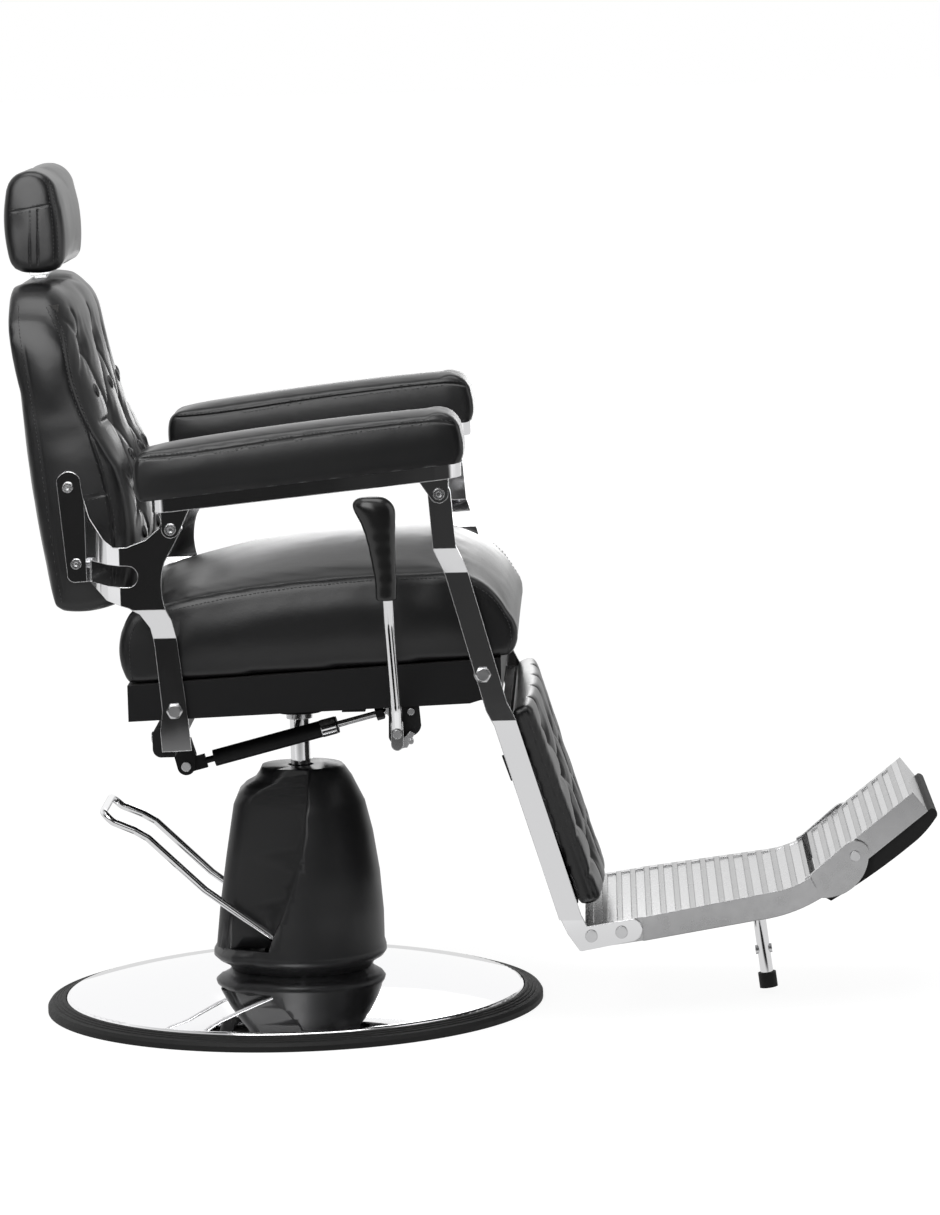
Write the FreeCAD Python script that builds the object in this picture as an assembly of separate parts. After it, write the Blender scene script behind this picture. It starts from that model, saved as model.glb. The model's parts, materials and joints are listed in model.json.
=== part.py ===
# Hydraulic barber chair: pump base, lifting ram, reclining back with linked armrests and legrest.
# Millimetres. +X is the way the sitter faces, +Z is up, the sitter's right side is -Y.
# The origin lies on the floor under the middle of the round base.

import FreeCAD, Part
import math
import os

V = FreeCAD.Vector
Y_AXIS = V(0, 1, 0)
Z_AXIS = V(0, 0, 1)

# General clearances and stock
SEAT_GAP = 0.3            # between a soft piece and what carries it
RUNNING_GAP = 0.05        # radial, between a pin and its bore
BOLT_GAP = 0.15           # radial, between a fixed bolt and its hole
LINKAGE_GAP = 2.8         # radial, where the closed linkage is opened
STRAP_THICKNESS = 5.0
STRAP_HALF_WIDTH = 15.0

# Round base
BASE_RADIUS = 330.0
TRIM_WIDTH = 24.0
TRIM_LEDGE = 14.0
TRIM_LEDGE_Z = 12.0
TRIM_HEIGHT = 17.5
TRIM_GROOVE = 1.6
BASE_SHEET = 6.0
BASE_TOP_Z = 50.0
BASE_TOP_RADIUS = 100.0

# Pump and ram
AXIS_X = 16.0             # swivel and lift axis
RAM_RADIUS = 13.0
RAM_FOOT_Z = 70.0
RAM_TOP_Z = 422.0
PISTON_HEIGHT = 12.0
CYLINDER_RADIUS = 30.0
CYLINDER_BORE = 22.0
CYLINDER_TOP_Z = 300.0
FLANGE_RADIUS = 60.0
FLANGE_HEIGHT = 10.0
FLANGE_BOLT_CIRCLE = 48.0
FLANGE_BOLT_RADIUS = 5.0
GLAND_HEIGHT = 12.0
GLAND_SPIGOT = 8.0
COLLAR_RADIUS = 17.3
COLLAR_Z = (382.0, 390.0)
PLUNGER_X = -33.5
PLUNGER_RADIUS = 6.0
PLUNGER_FOOT_Z = 45.0
PLUNGER_HOUSING_RADIUS = 14.0
PLUNGER_HOUSING_Z = (22.0, 70.0)

# Pump cover
COVER_WALL = 3.0
COVER_TOP_Z = 320.0
COVER_SHELF_Z = 84.0
COVER_LOBE_REACH = 24.0
COVER_HOLE_RADIUS = 17.0

# Pedal
PEDAL_PIVOT = (10.0, 73.0)
PEDAL_ARM_Y = 68.0
PEDAL_ROD_RADIUS = 5.0
PEDAL_PIN_RADIUS = 6.0
PEDAL_HUB_RADIUS = 10.0
PEDAL_HUB_Y = (34.0, 75.0)
PEDAL_FINGER = (-32.0, 90.0)
PEDAL_FINGER_RADIUS = 5.0

# Seat frame
FRAME_HALF_WIDTH = 250.0
FRAME_SHEET = 3.0
FRAME_REAR_X = -188.6
FRAME_FRONT_X = 290.0
FRAME_REAR_TOP_Z = 464.6
FRAME_TOP_SLOPE = 0.0515
FRAME_REAR_BOTTOM_Z = 418.0
FRAME_BOTTOM_SLOPE = 0.0318
PAN_THICKNESS = 12.0
SEAT_SET_IN = 3.0         # cushion side inside the frame side
SEAT_HALF_WIDTH = FRAME_HALF_WIDTH - SEAT_SET_IN
SEAT_RIM = 14.0
MEMBER_X = (-70.0, 100.0)
MEMBER_WIDTH = 30.0
ANCHOR_MEMBER_HALF = 14.0
MOUNT_TOP_Z = 424.0
MOUNT_THICKNESS = 8.0
MOUNT_HALF_WIDTH = 70.0
HUB_RADIUS = 30.0
MOUNT_BOLT_Y = 50.0
MOUNT_BOLT_RADIUS = 5.0

# Linkage pivots, X and Z
BACK_PIVOT = (-128.1, 432.0)
LEGREST_PIVOT = (267.0, 470.0)
ARM_REAR_PIVOT = (-123.3, 669.2)
ARM_FRONT_PIVOT = (218.0, 706.4)
STRAP_SET_OUT = 3.0       # strap outside the frame side
STRAP_INNER_Y = FRAME_HALF_WIDTH + STRAP_SET_OUT
STRAP_OUTER_STEP = 30.0
LUG_GAP = 0.3
FRAME_BOLT_RADIUS = 6.0
HEAD_FACE = 0.42             # radius of the flat face of a bolt head, by its width across flats
HEAD_CHAMFER = 0.55          # depth of its turned corners, by their width
ARM_BOLT_RADIUS = 4.0
CROSS_BAR_FOOT = 371.5

# Back
BACK_SET_IN = 32.3        # back side inside the frame side
BACK_HALF_WIDTH = FRAME_HALF_WIDTH - BACK_SET_IN
BACK_RIM = 11.0
BACK_CROWN = 23.0
BACK_TOP = 980.0
BACK_CORNER = 78.0           # rounding of the top corners, seen from in front
BACK_PLATE_GAP = 0.3
BACK_PLATE_Y = BACK_HALF_WIDTH + BACK_PLATE_GAP + STRAP_THICKNESS / 2
BOARD_SET_IN = 27.7
BOARD_THICKNESS = 18.0
BOARD_FOOT = (-250.6, 600.0)
BOARD_LEAN = 4.0
BACK_SCREWS = ((-258.5, 718.8), (-251.1, 620.1))
BACK_SCREW_RADIUS = 3.0

# Headrest and its bar
HEADREST_HALF_WIDTH = 130.0
HEADREST_RIM = 15.0
BAR_TOP_X = -305.0
BAR_TOP_Z = 979.0
BAR_LEAN = 4.5
BAR_WIDTH = 30.0
BAR_THICKNESS = 8.0
BAR_DEPTH = 180.0
BAR_RISE = 45.0
GUIDE_WALL = 4.0
GUIDE_DEPTH = 200.0
GUIDE_FLANGE = 5.0

# Armrests
ARM_SET_OUT = 35.0        # middle of the pad outside the frame side
ARM_Y = FRAME_HALF_WIDTH + ARM_SET_OUT
ARM_HALF_WIDTH = 47.0
ARM_RIM = 12.0
RAIL_HALF_WIDTH = 32.0
RAIL_X = (-146.0, 246.5)
RAIL_SHEET = 3.0
RAIL_TOP = 4.0
RAIL_BOTTOM_LINE = (705.3, 0.0942)     # height at X 0, slope
ARM_BOTTOM_LINE = (724.0, 0.098)

# Legrest and footrest
BAR_BEND = (293.0, 408.0)
BAR_FOOT = (371.0, 137.0)
TONGUE_Y = 186.5
LEG_PAD_TOP = (297.0, 420.0)
LEG_PAD_BOTTOM = (383.5, 148.0)
LEG_PAD_SET_IN = 13.0     # top of the pad inside the frame side
LEG_PAD_TOP_HALF = FRAME_HALF_WIDTH - LEG_PAD_SET_IN
LEG_PAD_BOTTOM_HALF = 177.0
LEG_PAD_THICKNESS = 40.0
LEG_PAD_RIM = 13.0
LEG_BOARD_THICKNESS = 12.0
TAB_PLACES = (60.0, 215.0)
TAB_SHEET = 3.0
FOOT_WALL = 6.0
FOOT_REAR_HALF = 188.0
FOOT_FRONT_HALF = 154.5
FOOT_REAR_X = 456.0
FOOT_FRONT_X = 691.0
EAR_THICKNESS = 5.7
RIB_PITCH = 19.0
RIB_WIDTH = 7.0
RIB_DEPTH = 2.0

# Toe plate
TOE_PIVOT = (741.3, 206.8)
TOE_START = (690.0, 188.0)
TOE_ANGLE = 38.1
TOE_LENGTH = 162.0
TOE_DEPTH = 32.0
TOE_SIDE_GAP = 0.8
TOE_WALL = 6.0
TOE_SCREW_RADIUS = 5.0

# Support leg under the footrest
LEG_TOP = (613.4, 153.5)
LEG_LEAN = 6.7
LEG_ROD_RADIUS = 6.0
LEG_TRAVEL = 30.0
LEG_ROD_END_GAP = 2.0     # rod above the foot when the leg is shortest
LEG_TUBE_RADIUS = 8.5
LEG_TUBE_SPAN = (36.0, 134.0)
LEG_FOOT_RADIUS = 12.0
LEG_FOOT_SPAN = (128.0, 148.0)
LEG_ROD_LENGTH = LEG_FOOT_SPAN[0] - LEG_TRAVEL - LEG_ROD_END_GAP
LEG_SCREW_AT = 96.5

# Gas spring
SPRING_Y = 90.0
SPRING_REAR = (-128.6, 335.1)
SPRING_ANGLE = 14.1
SPRING_LENGTH = 285.0
SPRING_BODY_SPAN = (38.0, 206.0)
SPRING_BODY_RADIUS = 11.0
SPRING_ROD_RADIUS = 4.3
SPRING_PIN_RADIUS = 4.0
SPRING_EYE_HALF = 4.0
CHEEK_THICKNESS = 4.0
CHEEK_GAP = 0.3

# Recline lever
LEVER_PIVOT = (155.8, 396.4)
LEVER_SET_OUT = 11.0      # eye outside the frame side
LEVER_Y = FRAME_HALF_WIDTH + LEVER_SET_OUT
LEVER_EYE_HALF = 3.0
LEVER_ROD_RADIUS = 7.0
LEVER_PIN_RADIUS = 4.0
LEVER_GRIP_SET_OUT = 93.0  # grip outside the eye
LEVER_GRIP_Y = LEVER_Y + LEVER_GRIP_SET_OUT


# Values that follow from those above
STRAP_MIDDLE_Y = STRAP_INNER_Y + STRAP_THICKNESS / 2
ARM_STRAP_MIDDLE_Y = STRAP_MIDDLE_Y + STRAP_OUTER_STEP
ARM_LUG_Y = ARM_STRAP_MIDDLE_Y + STRAP_THICKNESS / 2 + LUG_GAP
OUTSIDE_Y = FRAME_HALF_WIDTH + 150      # beyond every piece, for cutting tools
CROSS_BOLT_Y = FRAME_HALF_WIDTH - 50
TRIM_INNER_RADIUS = BASE_RADIUS - TRIM_WIDTH
CYLINDER_FLANGE_Z = BASE_TOP_Z + FLANGE_HEIGHT
SPRING_DIRECTION = (math.cos(math.radians(SPRING_ANGLE)), math.sin(math.radians(SPRING_ANGLE)))
SPRING_FRONT = (SPRING_REAR[0] + SPRING_LENGTH * SPRING_DIRECTION[0],
                SPRING_REAR[1] + SPRING_LENGTH * SPRING_DIRECTION[1])
PEDAL_FINGER_FOOT_Z = PEDAL_FINGER[1] - PEDAL_FINGER_RADIUS


def save(name, shape):
    """Write one sub-part; several separate pieces of one kind share a file."""
    os.makedirs("parts", exist_ok=True)
    shape.exportStep("parts/" + name + ".step")


def mirrored(shape):
    """The same piece on the other side of the chair."""
    return shape.mirror(V(0, 0, 0), Y_AXIS)


def save_pair(name, right_shape):
    """Write the sitter's right-hand piece and its mirror image."""
    save(name + "_right", right_shape)
    save(name + "_left", mirrored(right_shape))


def group(shapes):
    return Part.makeCompound(shapes)


def rod(start, end, radius):
    """A round bar between two points."""
    along = end - start
    return Part.makeCylinder(radius, along.Length, start, along)


def ring(start, end, outer, inner):
    """A tube between two points."""
    return rod(start, end, outer).cut(rod(start, end, inner))


def cross_rod(point, y_start, y_end, radius):
    """A round bar across the chair through an X, Z point."""
    return rod(V(point[0], y_start, point[1]), V(point[0], y_end, point[1]), radius)


def hexagon(centre, direction, across_flats, height):
    """A hexagonal head on a plane, grown along direction, with its outer corners turned off."""
    radius = across_flats / math.sqrt(3)
    corners = []
    for step in range(7):
        angle = math.radians(60 * step)
        corners.append(V(radius * math.cos(angle), radius * math.sin(angle), 0))
    drop = (radius - HEAD_FACE * across_flats) * HEAD_CHAMFER
    turned = Part.makeCylinder(radius, height - drop)
    turned = turned.fuse(Part.makeCone(radius, HEAD_FACE * across_flats, drop, V(0, 0, height - drop)))
    head = Part.Face(Part.makePolygon(corners)).extrude(V(0, 0, height)).common(turned)
    head.Placement = FreeCAD.Placement(centre, FreeCAD.Rotation(Z_AXIS, direction))
    return head


def outline(points, y):
    """Closed wire in the plane y. A third value in a point marks it as the middle of an arc."""
    corners = [V(p[0], y, p[1]) for p in points]
    edges = []
    count = len(points)
    for i in range(count):
        if len(points[i]) == 3:
            continue
        following = (i + 1) % count
        if len(points[following]) == 3:
            end = (i + 2) % count
            edges.append(Part.Arc(corners[i], corners[following], corners[end]).toShape())
        else:
            edges.append(Part.LineSegment(corners[i], corners[following]).toShape())
    return Part.Wire(edges)


def side_prism(points, y_start, y_end):
    """An X, Z outline carried across the chair from one Y to another."""
    face = Part.Face(outline(points, y_start))
    return face.extrude(V(0, y_end - y_start, 0))


def plan_prism(points, z_start, z_end):
    """An X, Y polygon carried upwards."""
    corners = [V(p[0], p[1], z_start) for p in points]
    face = Part.Face(Part.makePolygon(corners + corners[:1]))
    return face.extrude(V(0, 0, z_end - z_start))


def front_prism(points, x_start, x_end):
    """A Y, Z polygon carried along the chair."""
    corners = [V(x_start, p[0], p[1]) for p in points]
    face = Part.Face(Part.makePolygon(corners + corners[:1]))
    return face.extrude(V(x_end - x_start, 0, 0))


def thick_line(points, thickness):
    """Corners of a bent sheet of even thickness that follows a line through the points."""
    left = []
    right = []
    last = len(points) - 1
    for i, point in enumerate(points):
        before = points[max(i - 1, 0)]
        after = points[min(i + 1, last)]
        arriving = unit(point[0] - before[0], point[1] - before[1])
        leaving = unit(after[0] - point[0], after[1] - point[1])
        if i == 0:
            arriving = leaving
        if i == last:
            leaving = arriving
        middle = unit(arriving[0] + leaving[0], arriving[1] + leaving[1])
        reach = thickness / 2 / (middle[0] * leaving[0] + middle[1] * leaving[1])
        left.append((point[0] - middle[1] * reach, point[1] + middle[0] * reach))
        right.append((point[0] + middle[1] * reach, point[1] - middle[0] * reach))
    return left + right[::-1]


def unit(x, z):
    length = math.hypot(x, z) or 1.0
    return x / length, z / length


def strip(centres, half_width, y_start, y_end):
    """A flat bar with round ends and corners that follows X, Z centres."""
    pieces = [cross_rod(point, y_start, y_end, half_width) for point in centres]
    for start, end in zip(centres, centres[1:]):
        along = unit(end[0] - start[0], end[1] - start[1])
        across = (-along[1] * half_width, along[0] * half_width)
        corners = [(start[0] + across[0], start[1] + across[1]), (end[0] + across[0], end[1] + across[1]),
                   (end[0] - across[0], end[1] - across[1]), (start[0] - across[0], start[1] - across[1])]
        pieces.append(side_prism(corners, y_start, y_end))
    return pieces[0].multiFuse(pieces[1:]).removeSplitter()


def bent_rod(points, radius, bend):
    """A round bar through the points, with every corner bent to one radius."""
    edges = []
    start = points[0]
    for before, corner, after in zip(points, points[1:], points[2:]):
        back = (before - corner).normalize()
        onward = (after - corner).normalize()
        half = back.getAngle(onward) / 2
        reach = bend / math.tan(half)
        bisector = (back + onward).normalize()
        middle = corner + bisector * (bend / math.sin(half) - bend)
        entry = corner + back * reach
        leave = corner + onward * reach
        edges.append(Part.LineSegment(start, entry).toShape())
        edges.append(Part.Arc(entry, middle, leave).toShape())
        start = leave
    edges.append(Part.LineSegment(start, points[-1]).toShape())
    spine = Part.Wire(edges)
    direction = (points[1] - points[0]).normalize()
    profile = Part.Wire([Part.Circle(points[0], direction, radius).toShape()])
    return spine.makePipeShell([profile], True, False)


def loft(wires, ruled=False):
    return Part.makeLoft(wires, True, ruled)


def shrunk(points, inset):
    """The same outline drawn in towards its middle."""
    xs = [p[0] for p in points]
    zs = [p[1] for p in points]
    centre_x = (min(xs) + max(xs)) / 2
    centre_z = (min(zs) + max(zs)) / 2
    scale_x = 1 - 2 * inset / (max(xs) - min(xs))
    scale_z = 1 - 2 * inset / (max(zs) - min(zs))
    drawn = []
    for p in points:
        drawn.append((centre_x + (p[0] - centre_x) * scale_x, centre_z + (p[1] - centre_z) * scale_z) + tuple(p[2:]))
    return drawn


def between(first, second, share):
    """An outline part of the way from one outline to another."""
    mixed = []
    for a, b in zip(first, second):
        mixed.append((a[0] + (b[0] - a[0]) * share, a[1] + (b[1] - a[1]) * share) + tuple(a[2:]))
    return mixed


def crowned_loft(half, rim, side, middle, y_middle=0.0):
    """A cushion across the chair: sides drawn in over the rim, crowned towards the middle."""
    body = half - rim
    right = [(half - rim * s, rim * (1 - math.sqrt(1 - (1 - s) ** 2)), 0.0) for s in (0, 0.1, 0.3, 0.6, 1)]
    right += [(body * t, 0.0, 1 - t ** 2) for t in (0.93, 0.8, 0.6, 0.35, 0.12)]
    levels = [(-y, inset, share) for y, inset, share in right] + right[::-1]
    wires = [outline(shrunk(between(side, middle, share), inset), y + y_middle) for y, inset, share in levels]
    return loft(wires)


def frame_top(x):
    return FRAME_REAR_TOP_Z + FRAME_TOP_SLOPE * (x - FRAME_REAR_X)


def frame_bottom(x):
    return FRAME_REAR_BOTTOM_Z + FRAME_BOTTOM_SLOPE * (x - FRAME_REAR_X)


# Base

def base_plate():
    """Domed steel plate, hollow below, with a flat seat for the pump in its middle."""
    rim = TRIM_INNER_RADIUS - SEAT_GAP
    dome = Part.Arc(V(rim - 6, 0, 20), V(200, 0, 41), V(BASE_TOP_RADIUS, 0, BASE_TOP_Z)).toShape()
    edge = Part.Arc(V(rim, 0, 14), V(rim - 1.7, 0, 18.2), V(rim - 6, 0, 20)).toShape()
    under = Part.Arc(V(BASE_TOP_RADIUS, 0, BASE_TOP_Z - BASE_SHEET - 2), V(200, 0, 41 - BASE_SHEET),
                     V(rim - 8, 0, 20 - BASE_SHEET)).toShape()
    lines = [(V(BASE_TOP_RADIUS, 0, BASE_TOP_Z), V(0, 0, BASE_TOP_Z)),
             (V(0, 0, BASE_TOP_Z), V(0, 0, BASE_TOP_Z - BASE_SHEET - 2)),
             (V(0, 0, BASE_TOP_Z - BASE_SHEET - 2), V(BASE_TOP_RADIUS, 0, BASE_TOP_Z - BASE_SHEET - 2)),
             (V(rim - 8, 0, 20 - BASE_SHEET), V(rim - 8, 0, TRIM_LEDGE_Z)),
             (V(rim - 8, 0, TRIM_LEDGE_Z), V(rim, 0, TRIM_LEDGE_Z)),
             (V(rim, 0, TRIM_LEDGE_Z), V(rim, 0, 14))]
    straight = [Part.LineSegment(a, b).toShape() for a, b in lines]
    profile = Part.Wire([edge, dome] + straight[:3] + [under] + straight[3:])
    plate = Part.Face(profile).revolve(V(0, 0, 0), Z_AXIS, 360)
    holes = [rod(V(x, y, 0), V(x, y, 60), FLANGE_BOLT_RADIUS + BOLT_GAP) for x, y in flange_bolt_places()]
    holes.append(rod(V(PLUNGER_X, 0, 0), V(PLUNGER_X, 0, 60), PLUNGER_HOUSING_RADIUS + BOLT_GAP))
    save("base_plate", plate.cut(group(holes)))


def base_trim_ring():
    """Rubber ring under and round the rim of the plate, with fine grooves on its slope."""
    inner = TRIM_INNER_RADIUS
    profile = [V(inner - TRIM_LEDGE, 0, 0), V(BASE_RADIUS, 0, 0), V(BASE_RADIUS, 0, 7), V(BASE_RADIUS - 3, 0, 11.5),
               V(inner + 3, 0, TRIM_HEIGHT), V(inner, 0, TRIM_HEIGHT), V(inner, 0, TRIM_LEDGE_Z),
               V(inner - TRIM_LEDGE, 0, TRIM_LEDGE_Z)]
    body = Part.Face(Part.makePolygon(profile + profile[:1])).revolve(V(0, 0, 0), Z_AXIS, 360)
    slope_start = inner + 3
    slope_run = BASE_RADIUS - 3 - slope_start
    for step in (0.2, 0.45, 0.7):
        radius = slope_start + slope_run * step
        height = TRIM_HEIGHT + (11.5 - TRIM_HEIGHT) * step
        body = body.cut(Part.makeTorus(radius, TRIM_GROOVE, V(0, 0, height + 0.6)))
    save("base_trim_ring", body)


def flange_bolt_places():
    places = []
    for angle in (45, 135, 225, 315):
        turn = math.radians(angle)
        places.append((AXIS_X + FLANGE_BOLT_CIRCLE * math.cos(turn), FLANGE_BOLT_CIRCLE * math.sin(turn)))
    return places


def pump_cylinder():
    """Oil cylinder on its flange, with bosses for the pedal pins and the plunger housing."""
    centre = V(AXIS_X, 0, 0)
    flange = rod(centre + V(0, 0, BASE_TOP_Z), centre + V(0, 0, CYLINDER_FLANGE_Z), FLANGE_RADIUS)
    barrel = rod(centre + V(0, 0, BASE_TOP_Z), centre + V(0, 0, CYLINDER_TOP_Z), CYLINDER_RADIUS)
    housing = rod(V(PLUNGER_X, 0, PLUNGER_HOUSING_Z[0]), V(PLUNGER_X, 0, PLUNGER_HOUSING_Z[1]),
                  PLUNGER_HOUSING_RADIUS)
    boss_end = PEDAL_HUB_Y[0] - 1
    boss = cross_rod(PEDAL_PIVOT, -boss_end, boss_end, PEDAL_HUB_RADIUS + 1)
    body = barrel.multiFuse([flange, housing, boss])
    bore = rod(centre + V(0, 0, CYLINDER_FLANGE_Z), centre + V(0, 0, CYLINDER_TOP_Z), CYLINDER_BORE)
    plunger_bore = rod(V(PLUNGER_X, 0, PLUNGER_HOUSING_Z[0] + 6), V(PLUNGER_X, 0, PLUNGER_HOUSING_Z[1]),
                       PLUNGER_RADIUS + RUNNING_GAP)
    cuts = [bore, plunger_bore]
    for x, y in flange_bolt_places():
        cuts.append(rod(V(x, y, BASE_TOP_Z), V(x, y, CYLINDER_FLANGE_Z), FLANGE_BOLT_RADIUS + BOLT_GAP))
    for side in (-1, 1):
        cuts.append(cross_rod(PEDAL_PIVOT, side * (CYLINDER_BORE + 4), side * boss_end, PEDAL_PIN_RADIUS))
    save("pump_cylinder", body.cut(group(cuts)))


def pump_flange_bolts():
    bolts = []
    for x, y in flange_bolt_places():
        head = hexagon(V(x, y, CYLINDER_FLANGE_Z), Z_AXIS, 16, 6.5)
        shank = rod(V(x, y, BASE_TOP_Z - BASE_SHEET - 4), V(x, y, CYLINDER_FLANGE_Z), FLANGE_BOLT_RADIUS)
        bolts.append(head.fuse(shank))
    save("pump_flange_bolts", group(bolts))


def ram_gland():
    """Bronze gland that closes the cylinder and guides the ram."""
    base = V(AXIS_X, 0, CYLINDER_TOP_Z)
    cap = rod(base, base + V(0, 0, GLAND_HEIGHT), CYLINDER_RADIUS - 1)
    spigot = rod(base - V(0, 0, GLAND_SPIGOT), base, CYLINDER_BORE)
    bore = rod(base - V(0, 0, GLAND_SPIGOT), base + V(0, 0, GLAND_HEIGHT), RAM_RADIUS + RUNNING_GAP)
    save("ram_gland", cap.fuse(spigot).cut(bore))


def lift_ram():
    centre = V(AXIS_X, 0, 0)
    shaft = rod(centre + V(0, 0, RAM_FOOT_Z), centre + V(0, 0, RAM_TOP_Z), RAM_RADIUS)
    piston = rod(centre + V(0, 0, RAM_FOOT_Z), centre + V(0, 0, RAM_FOOT_Z + PISTON_HEIGHT),
                 CYLINDER_BORE - RUNNING_GAP)
    save("lift_ram", shaft.fuse(piston))


def ram_collar():
    centre = V(AXIS_X, 0, 0)
    save("ram_collar", ring(centre + V(0, 0, COLLAR_Z[0]), centre + V(0, 0, COLLAR_Z[1]), COLLAR_RADIUS, RAM_RADIUS))


def pump_plunger():
    save("pump_plunger", rod(V(PLUNGER_X, 0, PLUNGER_FOOT_Z), V(PLUNGER_X, 0, PEDAL_FINGER_FOOT_Z - 0.4),
                             PLUNGER_RADIUS))


# Pump cover

COVER_PROFILE = [(88, 50), (91, 56), (103, 63), (107.3, 69), (107, 76), (104.8, 84), (104.8, 121), (101, 175),
                 (93.2, 229), (83.7, 269.6), (67.4, 303.6), (58.5, 316.5), (55, COVER_TOP_Z)]
COVER_RIDGE = [(29, 330), (29, 318), (26.7, 282.7), (21.2, 229.5), (9, 176.3), (-8.3, 130), (-23.7, 99), (-29, 84)]
COVER_LOBE = [(84, -101, 56, 24), (139, -94.7, 55, 24), (206, -84.5, 54, 24), (273.5, -73, 53, 24),
              (287, -67, 52, 26), (296, -58, 51, 30), (303, -45.5, 50, 34), (311, -40, 49, 38), (320, -35.7, 47, 40)]
COVER_SHELF = [(50, 88, -84, 62), (56, 91, -88, 64), (63, 103, -101, 72), (69, 107.3, -107, 76),
               (76, 107, -106.5, 76), (84, 104.8, -102, 72)]


def cover_turned(inset):
    """The round front body of the cover, drawn in by inset."""
    points = [(r - inset, z) for r, z in COVER_PROFILE]
    top = COVER_TOP_Z - inset
    points = [p for p in points if p[1] < top] + [(points[-1][0], top)]
    corners = [V(AXIS_X, 0, BASE_TOP_Z)]
    corners += [V(AXIS_X + r, 0, z) for r, z in points]
    corners += [V(AXIS_X, 0, top), V(AXIS_X, 0, BASE_TOP_Z)]
    return Part.Face(Part.makePolygon(corners)).revolve(V(AXIS_X, 0, 0), Z_AXIS, 360)


def lobe_section(z, rear_x, half_width, corner, inset):
    """One level of the narrow rear lobe: a box with two round rear corners."""
    rear = rear_x + inset
    half = half_width - inset
    turn = corner * (1 - math.sqrt(0.5))
    front = AXIS_X + COVER_LOBE_REACH
    points = [V(front, -half, z), V(rear + corner, -half, z), V(rear, -half + corner, z), V(rear, half - corner, z),
              V(rear + corner, half, z), V(front, half, z)]
    edges = [Part.LineSegment(points[0], points[1]).toShape(),
             Part.Arc(points[1], V(rear + turn, -half + turn, z), points[2]).toShape(),
             Part.LineSegment(points[2], points[3]).toShape(),
             Part.Arc(points[3], V(rear + turn, half - turn, z), points[4]).toShape(),
             Part.LineSegment(points[4], points[5]).toShape(),
             Part.LineSegment(points[5], points[0]).toShape()]
    return Part.Wire(edges)


def cover_lobe(inset):
    levels = [list(level) for level in COVER_LOBE]
    levels[-1][0] = COVER_TOP_Z - inset
    return loft([lobe_section(z, x, w, c, inset) for z, x, w, c in levels], True)


def shelf_section(z, radius, rear_x, rear_half, inset):
    """One level of the egg-shaped skirt at the foot of the cover."""
    r = radius - inset
    diagonal = r * math.sqrt(0.5)
    rear = rear_x + inset
    half = rear_half - inset
    shoulder = rear + 30
    points = [V(AXIS_X, -r, z), V(AXIS_X + r, 0, z), V(AXIS_X, r, z), V(shoulder, half, z), V(shoulder, -half, z)]
    edges = [Part.Arc(points[0], V(AXIS_X + diagonal, -diagonal, z), points[1]).toShape(),
             Part.Arc(points[1], V(AXIS_X + diagonal, diagonal, z), points[2]).toShape(),
             Part.LineSegment(points[2], points[3]).toShape(),
             Part.Arc(points[3], V(rear, 0, z), points[4]).toShape(),
             Part.LineSegment(points[4], points[0]).toShape()]
    return Part.Wire(edges)


def cover_solid(inset):
    ridge = COVER_RIDGE + [(-150, COVER_SHELF_Z), (-150, 330)]
    behind = side_prism([(x + inset, z) for x, z in ridge], -150, 150)
    front = cover_turned(inset).cut(behind)
    shelf = loft([shelf_section(z, r, x, w, inset) for z, r, x, w in COVER_SHELF], True)
    return front.multiFuse([cover_lobe(inset), shelf])


def pump_cover():
    """Moulded shell: round front body, narrow rear lobe, skirt, and slots for the pedal arms."""
    shell = cover_solid(0).cut(cover_solid(COVER_WALL))
    hole = rod(V(AXIS_X, 0, COVER_TOP_Z - 20), V(AXIS_X, 0, COVER_TOP_Z + 20), COVER_HOLE_RADIUS)
    slot_half = PEDAL_ROD_RADIUS + 2.5
    cuts = [hole]
    for side in (-1, 1):
        cuts.append(Part.makeBox(46, 2 * slot_half, 32, V(-54, side * PEDAL_ARM_Y - slot_half, 76)))
    save("pump_cover", shell.cut(group(cuts)))


# Pedal

PEDAL_ARM = [(-111.6, 165.3), (-184.6, 236.4), (-201.4, 246.5), (-230, 258.8), (-243, 271)]


def pump_pedal():
    """Foot pedal: one bent rod, both arms and the crossbar."""
    start = (PEDAL_PIVOT[0] - 7, PEDAL_PIVOT[1] + 5.5)
    right = [V(x, -PEDAL_ARM_Y, z) for x, z in [start] + PEDAL_ARM]
    left = [V(p.x, PEDAL_ARM_Y, p.z) for p in right]
    loop = bent_rod(right + left[::-1], PEDAL_ROD_RADIUS, 14)
    keep_off = group([cross_rod(PEDAL_PIVOT, -90, 90, PEDAL_HUB_RADIUS)])
    save("pump_pedal", loop.cut(keep_off))


def pedal_yoke():
    """Hubs on the pins, welded to the arms, with the finger that pushes the plunger."""
    pieces = []
    for side in (-1, 1):
        pieces.append(cross_rod(PEDAL_PIVOT, side * PEDAL_HUB_Y[0], side * PEDAL_HUB_Y[1], PEDAL_HUB_RADIUS))
        start = min(side * 36, side * 42)
        pieces.append(strip([PEDAL_PIVOT, PEDAL_FINGER], 6.0, start, start + 6))
    pieces.append(cross_rod(PEDAL_FINGER, -42, 42, PEDAL_FINGER_RADIUS))
    body = pieces[0].multiFuse(pieces[1:])
    bores = [cross_rod(PEDAL_PIVOT, -90, 90, PEDAL_PIN_RADIUS + RUNNING_GAP)]
    save("pedal_yoke", body.cut(group(bores)))


def pedal_pins():
    pins = []
    for side in (-1, 1):
        shank = cross_rod(PEDAL_PIVOT, side * (CYLINDER_BORE + 4), side * (PEDAL_HUB_Y[1] + SEAT_GAP), PEDAL_PIN_RADIUS)
        end = PEDAL_HUB_Y[1] + SEAT_GAP
        head = cross_rod(PEDAL_PIVOT, side * end, side * (end + 3), PEDAL_HUB_RADIUS - 1)
        pins.append(shank.fuse(head))
    save("pedal_pins", group(pins))


# Seat

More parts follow.
